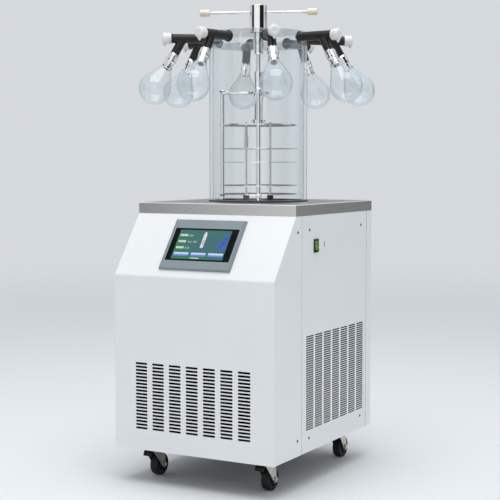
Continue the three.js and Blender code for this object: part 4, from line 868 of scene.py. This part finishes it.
def clear_finish(name, film, rim, edge_colour, ramp_power, tint, mirror_most=0.75):
    """Clear plastic or glass: a faint film seen square on, and a denser, mirror-like edge where it turns away."""
    material, nodes, shader = bare_material(name)
    turned_away = added(nodes, "LayerWeight", {"Blend": 0.5}).outputs["Facing"]
    curve, mirror_curve = (added(nodes, "Math", {0: turned_away, 1: power}, operation="POWER").outputs["Value"]
                           for power in (ramp_power, 5.0))
    haze = noise(nodes, 9)
    body = {"Factor": curve, "A": spread(nodes, haze, film * 0.7, film * 1.3), "B": rim}
    body_share = added(nodes, "Mix", body).outputs["Result"]
    bump = added(nodes, "Bump", {"Height": noise(nodes, 25), "Strength": 0.04, "Distance": 0.001}).outputs["Normal"]
    feed(shader, {"Base Color": ramped(nodes, haze, zip((0, 1), shades(edge_colour, 0.04))),
                  "Roughness": spread(nodes, noise(nodes, 30), 0.04, 0.12), "Normal": bump})
    see_through = added(nodes, "BsdfTransparent", {"Color": (*tint, 1)}).outputs["BSDF"]
    mirror = added(nodes, "BsdfGlossy", {"Color": (0.95, 0.97, 1.0, 1), "Roughness": 0.03, "Normal": bump})
    walls = added(nodes, "MixShader", {"Fac": body_share, 1: see_through, 2: shader.outputs["BSDF"]})
    mirror_share = spread(nodes, mirror_curve, 0.03, mirror_most, (0, 1))
    surface = {"Fac": mirror_share, 1: walls.outputs["Shader"], 2: mirror.outputs["BSDF"]}
    feed(nodes["Material Output"], {"Surface": added(nodes, "MixShader", surface).outputs["Shader"]})
    return material


CHAMBER = at(0, AXIS_Y, TOP_Z)  # on the worktop, at the chamber's axis
VALVE_Z, FIRST_PORT, PORTS, BORE, BORES_MEET = 465, -7.2, 8, 6, 108
gasket_rings = [(130, 0.3), (143.4, 0.3), (144, 0.9), (144, 3), (143.2, 3.7), (141.4, 4), (131, 4), (130, 3.4),
                (130, 0.3)]
gasket = turned("gasket_ring", gasket_rings, sides=128)
wall_rings = [(132, 5), (132.8, 4.2), (140.2, 4.2), (141, 5), (141, 444.2), (140.2, 445), (132.8, 445), (132, 444.2),
              (132, 5)]
wall = turned("acrylic_wall", wall_rings, sides=128, angle=25)
lid = turned("acrylic_lid", [(139.6, 445.3), (141, 446.7), (141, 483.4), (139.4, 485)], sides=128, angle=25)
port_turns = [turn(FIRST_PORT + 360 / PORTS * port, "Z") for port in range(PORTS)]
across = copies("bores", turned("bore", [(BORE, BORES_MEET), (BORE, 145)], sides=24),
                [spin @ at(0, 0, VALVE_Z) @ turn(90, "Y") for spin in port_turns])
down = copies("bores", turned("bore", [(BORE, 440), (BORE, VALVE_Z)], sides=24),
              [spin @ at(BORES_MEET, 0, 0) for spin in port_turns])
centre_bore = turned("bore", [(15.2, 440), (15.2, 490)])
lid = shaded(cut(lid, joined("bores", across, centre_bore), down), 25)

gasket_rubber = finish("gasket_rubber", (0.040, 0.035, 0.030), 0.5, patches=(40, 0.3), gloss=(60, 0.1),
                       relief=(900, 0.08))
acrylic = clear_finish("clear_acrylic", 0.022, 0.50, (0.62, 0.72, 0.76), 4.0, (0.988, 0.994, 0.996))
lid_acrylic = clear_finish("lid_acrylic", 0.04, 0.30, (0.66, 0.75, 0.78), 3.0, (0.98, 0.988, 0.992), 0.4)
for piece, material, slot, node in ((gasket, gasket_rubber, "black_rubber", "chamber_gasket"),
                                    (wall, acrylic, "clear_acrylic", "chamber_cylinder"),
                                    (lid, lid_acrylic, "clear_acrylic", "chamber_lid")):
    on_body(moved(piece, CHAMBER), material, "cabinet", slot, node)

# ---------------------------------------------------------------- Stoppering rack
# Three chromed posts stand on a round base plate and carry the yoke, with a domed nut on each. Two thinner guide rods
# stand on black feet. The screw's nut is pressed into the middle of the yoke.

POST_CIRCLE = 105
POSTS, GUIDES = ([turn(bearing, "Z") @ at(POST_CIRCLE, 0, 0) for bearing in bearings]
                 for bearings in ((-61, -156, 119), (99, 139)))
POST_HOLE, GUIDE_HOLE = 6.6, 4.1
WEB = 23.6  # degrees from an arm's middle to where its side leaves the disc


def plate_holes(low, high):
    """Cutters for the holes that the posts and guide rods pass through."""
    holes = copies("holes", turned("hole", [(POST_HOLE, low), (POST_HOLE, high)], sides=24), POSTS)
    thin_hole = turned("hole", [(GUIDE_HOLE, low), (GUIDE_HOLE, high)], sides=20)
    return joined("holes", holes, copies("thin_holes", thin_hole, GUIDES))


base = turned("base", [(111, 20), (112.6, 20.2), (113, 21), (112.6, 21.8), (111, 22)], sides=96)
post = turned("post", [(7.4, 0.3), (8.6, 1), (8.6, 5), (6.6, 6.4), (6, 7.5), (6, 315.5)], sides=32)
collar = turned("collar", [(6, 15.5), (8.8, 16), (8.8, 19.6), (6.2, 20)], sides=6, angle=20)
cap = turned("cap", [(9, 315.3), (9, 318.8), (8.2, 319.6)], sides=6, angle=20)
dome = turned("dome", [(7.2, 318.5), (6.9, 320.4), (5.4, 322), (2.8, 322.7), (0.05, 322.9)], sides=28)
posts = copies("posts", joined("post", post, collar, cap, dome), POSTS)
rods = copies("rods", turned("rod", [(3.5, 14), (3.5, 231.8), (2.8, 233)], sides=24), GUIDES)
yoke_line = []
for bearing, next_bearing in ((-156, -61), (-61, 119), (119, 204)):
    reach = Matrix.Rotation(math.radians(bearing), 2) @ Vector((100, 0))
    yoke_line += arc(reach, 12, bearing - 90, bearing + 90, 12)
    yoke_line += arc((0, 0), 30, bearing + WEB, next_bearing - WEB, 12)
yoke = eased(profiled("yoke", yoke_line, 309, 315.5, "Z"), 0.8, 50)
yoke = fused(yoke, turned("yoke_nut", [(11, 284), (12, 285), (15.8, 303), (17, 304.5), (17, 309.4)]))
yoke = shaded(cut(yoke, turned("bore", [(7.1, 280), (7.1, 320)], sides=32)), 30)
rack = joined("rack_frame", base, posts, rods, yoke)
foot = turned("foot", [(8.6, 0.3), (9.5, 1.2), (9.5, 12.5), (8.4, 15), (3.4, 15)], sides=32)
feet = copies("rack_feet", foot, GUIDES)
chrome = finish("polished_chrome", (0.86, 0.85, 0.84), 0.08, 1.0, patches=(30, 0.04), gloss=(40, 0.04),
                relief=(150, 0.015))
on_body(moved(rack, CHAMBER), chrome, "cabinet", "chrome", "press_frame")
on_body(moved(feet, CHAMBER), black_plastic, "cabinet", "black_plastic")

# ---------------------------------------------------------------- Shelves
# Three round stainless shelves hold the vials. Each is a thin disc with a bright rolled edge and holes for the posts.
# The upper one carries a pale plastic sleeve on a guide rod, which takes up the play under the press plate.

shelf_steel = finish("shelf_stainless", (0.66, 0.655, 0.65), 0.16, 1.0, patches=(12, 0.05), gloss=(25, 0.05),
                     relief=(50, 0.05), stretch=(1, 14, 1))
for count, (height, body) in enumerate(((45, "cabinet"), (112, "middle_shelf"), (151, "upper_shelf")), 1):
    shelf_rings = [(110.6, height), (112.2, height + 0.1), (113, height + 1), (112.2, height + 1.9),
                   (110.6, height + 2)]
    shelf = turned(f"round_shelf_{count}", shelf_rings, sides=96)
    shelf = shaded(cut(shelf, plate_holes(height - 2, height + 4)), 35)
    on_body(moved(shelf, CHAMBER), shelf_steel, body, "stainless", f"shelf_{count}")
sleeve_rings = [(4.9, 153), (6.3, 153), (6.3, 194.4), (5.9, 195), (4.9, 195), (4.9, 153)]
bush_rings = [(3.9, 196), (4.5, 195), (4.5, 217.8), (3.9, 217.8), (3.9, 196)]
pale_plastic = finish("pale_plastic", (0.93, 0.94, 0.92), 0.3, patches=(60, 0.06), gloss=(60, 0.06),
                      relief=(900, 0.03))
for name, rings, body in (("guide_sleeve", sleeve_rings, "upper_shelf"), ("guide_bush", bush_rings, "press")):
    piece = moved(turned(name, rings, sides=32), CHAMBER @ GUIDES[1])
    on_body(piece, pale_plastic, body, "knob_plastic")

# ---------------------------------------------------------------- Press
# The press plate slides on the posts, pushed by a screw whose thrust end turns in the plate's collar. The T-handle
# above the lid drives the screw through a shaft and a sleeve, and has ivory plastic caps. A gland in the lid seals it.

THREADS, FIRST_THREAD, THREAD_PITCH, THREAD_OUT, THREAD_IN = 27, 284.2, 3.2, 6.5, 5.9
BAR = at(0, 0, 543) @ turn(22, "Z") @ turn(90, "Y")

plate = turned("plate", [(111, 218), (112.6, 218.4), (113, 220), (112.6, 221.6), (111, 222)], sides=96)
plate = shaded(cut(plate, plate_holes(214, 226)), 35)
collar_rings = [(20.5, 221.6), (20.5, 226), (18.6, 226.8), (18.6, 229.4), (20.5, 230.2), (20.5, 235), (19.4, 236),
                (6.2, 236), (6.2, 228), (5.6, 227.4), (0.05, 227.4)]
press = joined("round_press_plate", plate, turned("collar", collar_rings))
screw_rings = [(5, 228.2), (5, 236.3), (12, 236.3), (13, 237.3), (13, 249), (12.2, 250), (12.2, 251.4), (13, 252.4),
               (13, 281.6), (12, 283.3), (6.5, 283.3)]
for step in range(THREADS):
    low = FIRST_THREAD + THREAD_PITCH * step
    screw_rings += [(THREAD_OUT, low), (THREAD_IN, low + 0.8), (THREAD_IN, low + 1.6), (THREAD_OUT, low + 2.4)]
screw = turned("lead_screw", screw_rings + [(6.5, 369), (5.6, 369.8)], sides=32)
hub_rings = [(23.6, 485.3), (25, 486.3), (25, 493), (24.2, 493.8), (24.2, 495), (25, 495.8), (25, 560.6),
             (23.8, 563.2), (21, 564.3)]
shaft_rings = [(6.4, 486), (6.4, 446), (6.4, 445), (12.6, 445), (13.5, 444.2), (13.5, 438), (12.4, 437.2),
               (12.4, 435.4), (13.5, 434.6), (13.5, 426), (12.6, 425), (6.4, 425), (6.4, 375), (12.2, 373.5),
               (13, 372.7), (13, 352), (12.3, 351.4), (12.3, 349.8), (13, 349.2), (13, 324.3), (12.2, 323.5),
               (7.1, 323.5), (7.1, 370.4), (0.05, 370.4)]
handle = joined("handle_hub", turned("hub", hub_rings, sides=96), turned("shaft", shaft_rings))
bar = moved(turned("handle_bar", [(3.2, -168), (4, -167), (4, 167), (3.2, 168)], sides=28), BAR)
gland_rings = [(7.1, 445.4), (14.2, 445.4), (15, 446.2), (15, 455), (14, 455.8), (14, 457.4), (15, 458.2), (15, 476),
               (14, 476.8), (14, 478.4), (15, 479.2), (15, 484), (14.2, 484.9), (7.1, 484.9), (7.1, 445.4)]
gland = turned("seal_gland", gland_rings, sides=64)
cap_rings = [(4.1, 141.6), (8.8, 141.6), (9.6, 142.6), (9.9, 146), (9.9, 166.6), (9.3, 169), (7.6, 170), (0.05, 170)]
caps = copies("handle_caps", turned("cap", cap_rings, sides=40), [BAR @ turn(spin, "X") for spin in (0, 180)])
bar_steel = finish("bar_steel", (0.60, 0.59, 0.58), 0.16, 1.0, patches=(30, 0.05), gloss=(60, 0.05),
                   relief=(300, 0.02))
ivory = finish("ivory_plastic", (0.74, 0.67, 0.53), 0.36, patches=(50, 0.06), gloss=(60, 0.06), relief=(900, 0.04))
for piece, material, body, slot, *nodes in (
    (gland, chrome, "cabinet", "chrome"),
    (press, chrome, "press", "chrome", "press_plate"),
    (screw, chrome, "screw", "chrome", "press_screw"),
    (handle, chrome, "handle", "chrome", "press_handle"),
    (bar, bar_steel, "handle", "chrome", "press_handle"),
    (caps, ivory, "handle", "knob_plastic", "press_handle"),
):
    on_body(moved(piece, CHAMBER), material, body, slot, *nodes)

# ---------------------------------------------------------------- Valves and flasks
# Eight black rubber valves plug into the lid's rim. Each has a turning knob of milky plastic with a pointer, and a leg
# that slants down to a chromed adapter, where a pear-shaped glass flask hangs by its neck.

VALVE_OUT, VALVE_LONG, LEG_X, LEG_SLANT, ADAPTER_END = 141.3, 110, 76, 60, 99
KNOB_GRIPS, GRIP_CIRCLE = 12, 17.2
LEG = at(LEG_X, 0, 0) @ turn(90 + LEG_SLANT, "Y")
FLASK = LEG @ at(0, 0, ADAPTER_END + 0.3)
BULB, BULB_AT, NECK, NECK_END, GLASS = 45.5, 65, 16.9, -0.5, 1.3  # the flask, measured from the adapter's end

barrel_rings = [(14.6, 0), (16.5, 0.6), (16.9, 1.8), (16.5, 3), (14.2, 4), (13, 5.6), (13, 106.5), (14, 107.6),
                (14, 109.2), (12.6, 110)]
valve = moved(turned("barrel", barrel_rings, sides=56), turn(90, "Y"))
leg = turned("leg", [(12.4, 0), (12.4, 50.5), (13.4, 51.6), (13.4, 54.4), (12.4, 55.4)], sides=56)
stem = turned("stem", [(5.2, -10), (5.4, -9.4), (5.4, 2)], sides=24)
valve = fused(valve, moved(leg, LEG), moved(stem, turn(90, "Y")))
valve = worked(worked(valve, "REMESH", mode="VOXEL", voxel_size=1.1 * MM), "SMOOTH", factor=0.5, iterations=5)
knob_socket = moved(turned("knob_socket", [(5.1, 98.4), (5.1, 112)], sides=24), turn(90, "Y"))
valve = shaded(cut(valve, knob_socket), 50)

adapter_rings = [(12.7, 50), (14.4, 53), (15.6, 54.5), (15.6, 64.6), (14.7, 65.3), (14.7, 66.7), (15.6, 67.4),
                 (15.6, 76), (14, 78), (14, 88), (14.8, 89.2), (14.8, 97.2), (13.6, 98.4), (9.4, 98.4), (9.4, 50.4),
                 (12.7, 50)]
adapter = moved(turned("adapter", adapter_rings, sides=56), LEG)
ring = turned("ring", [(9.2, 94), (9.2, 99.6), (8.2, 100.4), (5, 100.4), (5, 94), (9.2, 94)], sides=40)
dots = copies("dots", turned("dot", [(2.2, 13.8), (2.2, 15.6), (1.8, 15.85)], sides=16),
              [at(0, 0, height) @ turn(spin, "Z") @ turn(90, "Y")
               for height, first in ((71.8, 0), (93.2, 30)) for spin in range(first, 360, 60)])
ring = moved(joined("ring", ring, dots), LEG)

knob_rings = [(4.4, -10.5), (4.4, 0), (12.4, 0.1), (14.6, 1.4), (15.5, 3.4), (15.5, 20.2), (14.7, 22.6), (12.4, 24.4),
              (7.6, 25.3), (6.6, 24.7), (0.05, 24.5)]
grip_turns = [turn(360 / KNOB_GRIPS * (step + 0.5), "Z") @ at(GRIP_CIRCLE, 0, 0) for step in range(KNOB_GRIPS)]
grips = copies("grips", turned("grip", [(2.6, 2.2), (2.6, 30)], sides=20), grip_turns)
knob = shaded(cut(turned("knob", knob_rings, sides=60), grips), 40)
pointer = turned("pointer", [(6.2, 9), (5.8, 15), (3.4, 20), (1.4, 22.6), (0.05, 23)], sides=28)
tip = turned("tip", [(4.2, 9), (3.8, 15), (2.2, 17.2), (0.05, 18)], sides=28)
arrow = at(0, 0, 19.5)
knob = joined("knob", knob, moved(pointer, arrow @ turn(90, "Y")), moved(tip, arrow @ turn(-90, "Y")))
knob = moved(knob, at(VALVE_LONG + 0.3, 0, 0) @ turn(90, "Y"))

# The bulb is round, and its shoulders run straight down to the neck where they touch it.
fall = BULB_AT - NECK_END
slope = math.degrees(math.asin(BULB / math.hypot(fall, NECK)) - math.atan2(NECK, fall))
outer = arc((0, BULB_AT), BULB, -slope, 90, 18)[:-1] + [(0.05, BULB_AT + BULB)]
shares = (0, 0.15, 0.3, 0.5, 0.7, 0.85)
outer = [tuple(Vector((NECK, NECK_END)).lerp(Vector(outer[0]), share)) for share in shares] + outer
SHRINK = (BULB - GLASS) / BULB
inner = [(max(0.05, radius - GLASS), height) if height < BULB_AT
         else (max(0.05, radius * SHRINK), BULB_AT + (height - BULB_AT) * SHRINK) for radius, height in outer]
lip = [(15.5, -3.4), (16.3, -3.6), (17, -3), (17.1, -2.2), (16.8, -1.5)]
flask = moved(turned("flask", lip + outer + inner[::-1] + lip[:1], sides=64), FLASK)

valve_rubber = finish("valve_rubber", (0.013, 0.0105, 0.009), 0.42, patches=(35, 0.25), gloss=(50, 0.08),
                      relief=(900, 0.05), Specular_IOR_Level=0.35)
knob_plastic = finish("knob_plastic", (0.72, 0.715, 0.70), 0.28, patches=(60, 0.05), gloss=(80, 0.06),
                      relief=(900, 0.03), Subsurface_Weight=0.35, Subsurface_Scale=0.006)
flask_glass = clear_finish("flask_glass", 0.03, 0.62, (0.60, 0.70, 0.75), 3.0, (0.985, 0.992, 0.994))
for port, spin in enumerate(port_turns, 1):
    there = CHAMBER @ spin @ at(VALVE_OUT, 0, VALVE_Z)
    for model, name, material, body, slot, *nodes in (
        (valve, "valve_body", valve_rubber, "cabinet", "black_rubber", f"valve_{port}"),
        (adapter, "valve_adapter", chrome, "cabinet", "chrome"),
        (ring, "valve_ring", black_plastic, "cabinet", "black_plastic"),
        (knob, "turning_knob", knob_plastic, f"knob_{port}", "knob_plastic", f"valve_knob_{port}"),
        (flask, "glass_flask", flask_glass, "cabinet", "flask_glass", f"flask_{port}"),
    ):
        on_body(copy_of(model, f"{name}_{port}", there), material, body, slot, *nodes)
discard(valve, adapter, ring, knob, flask)
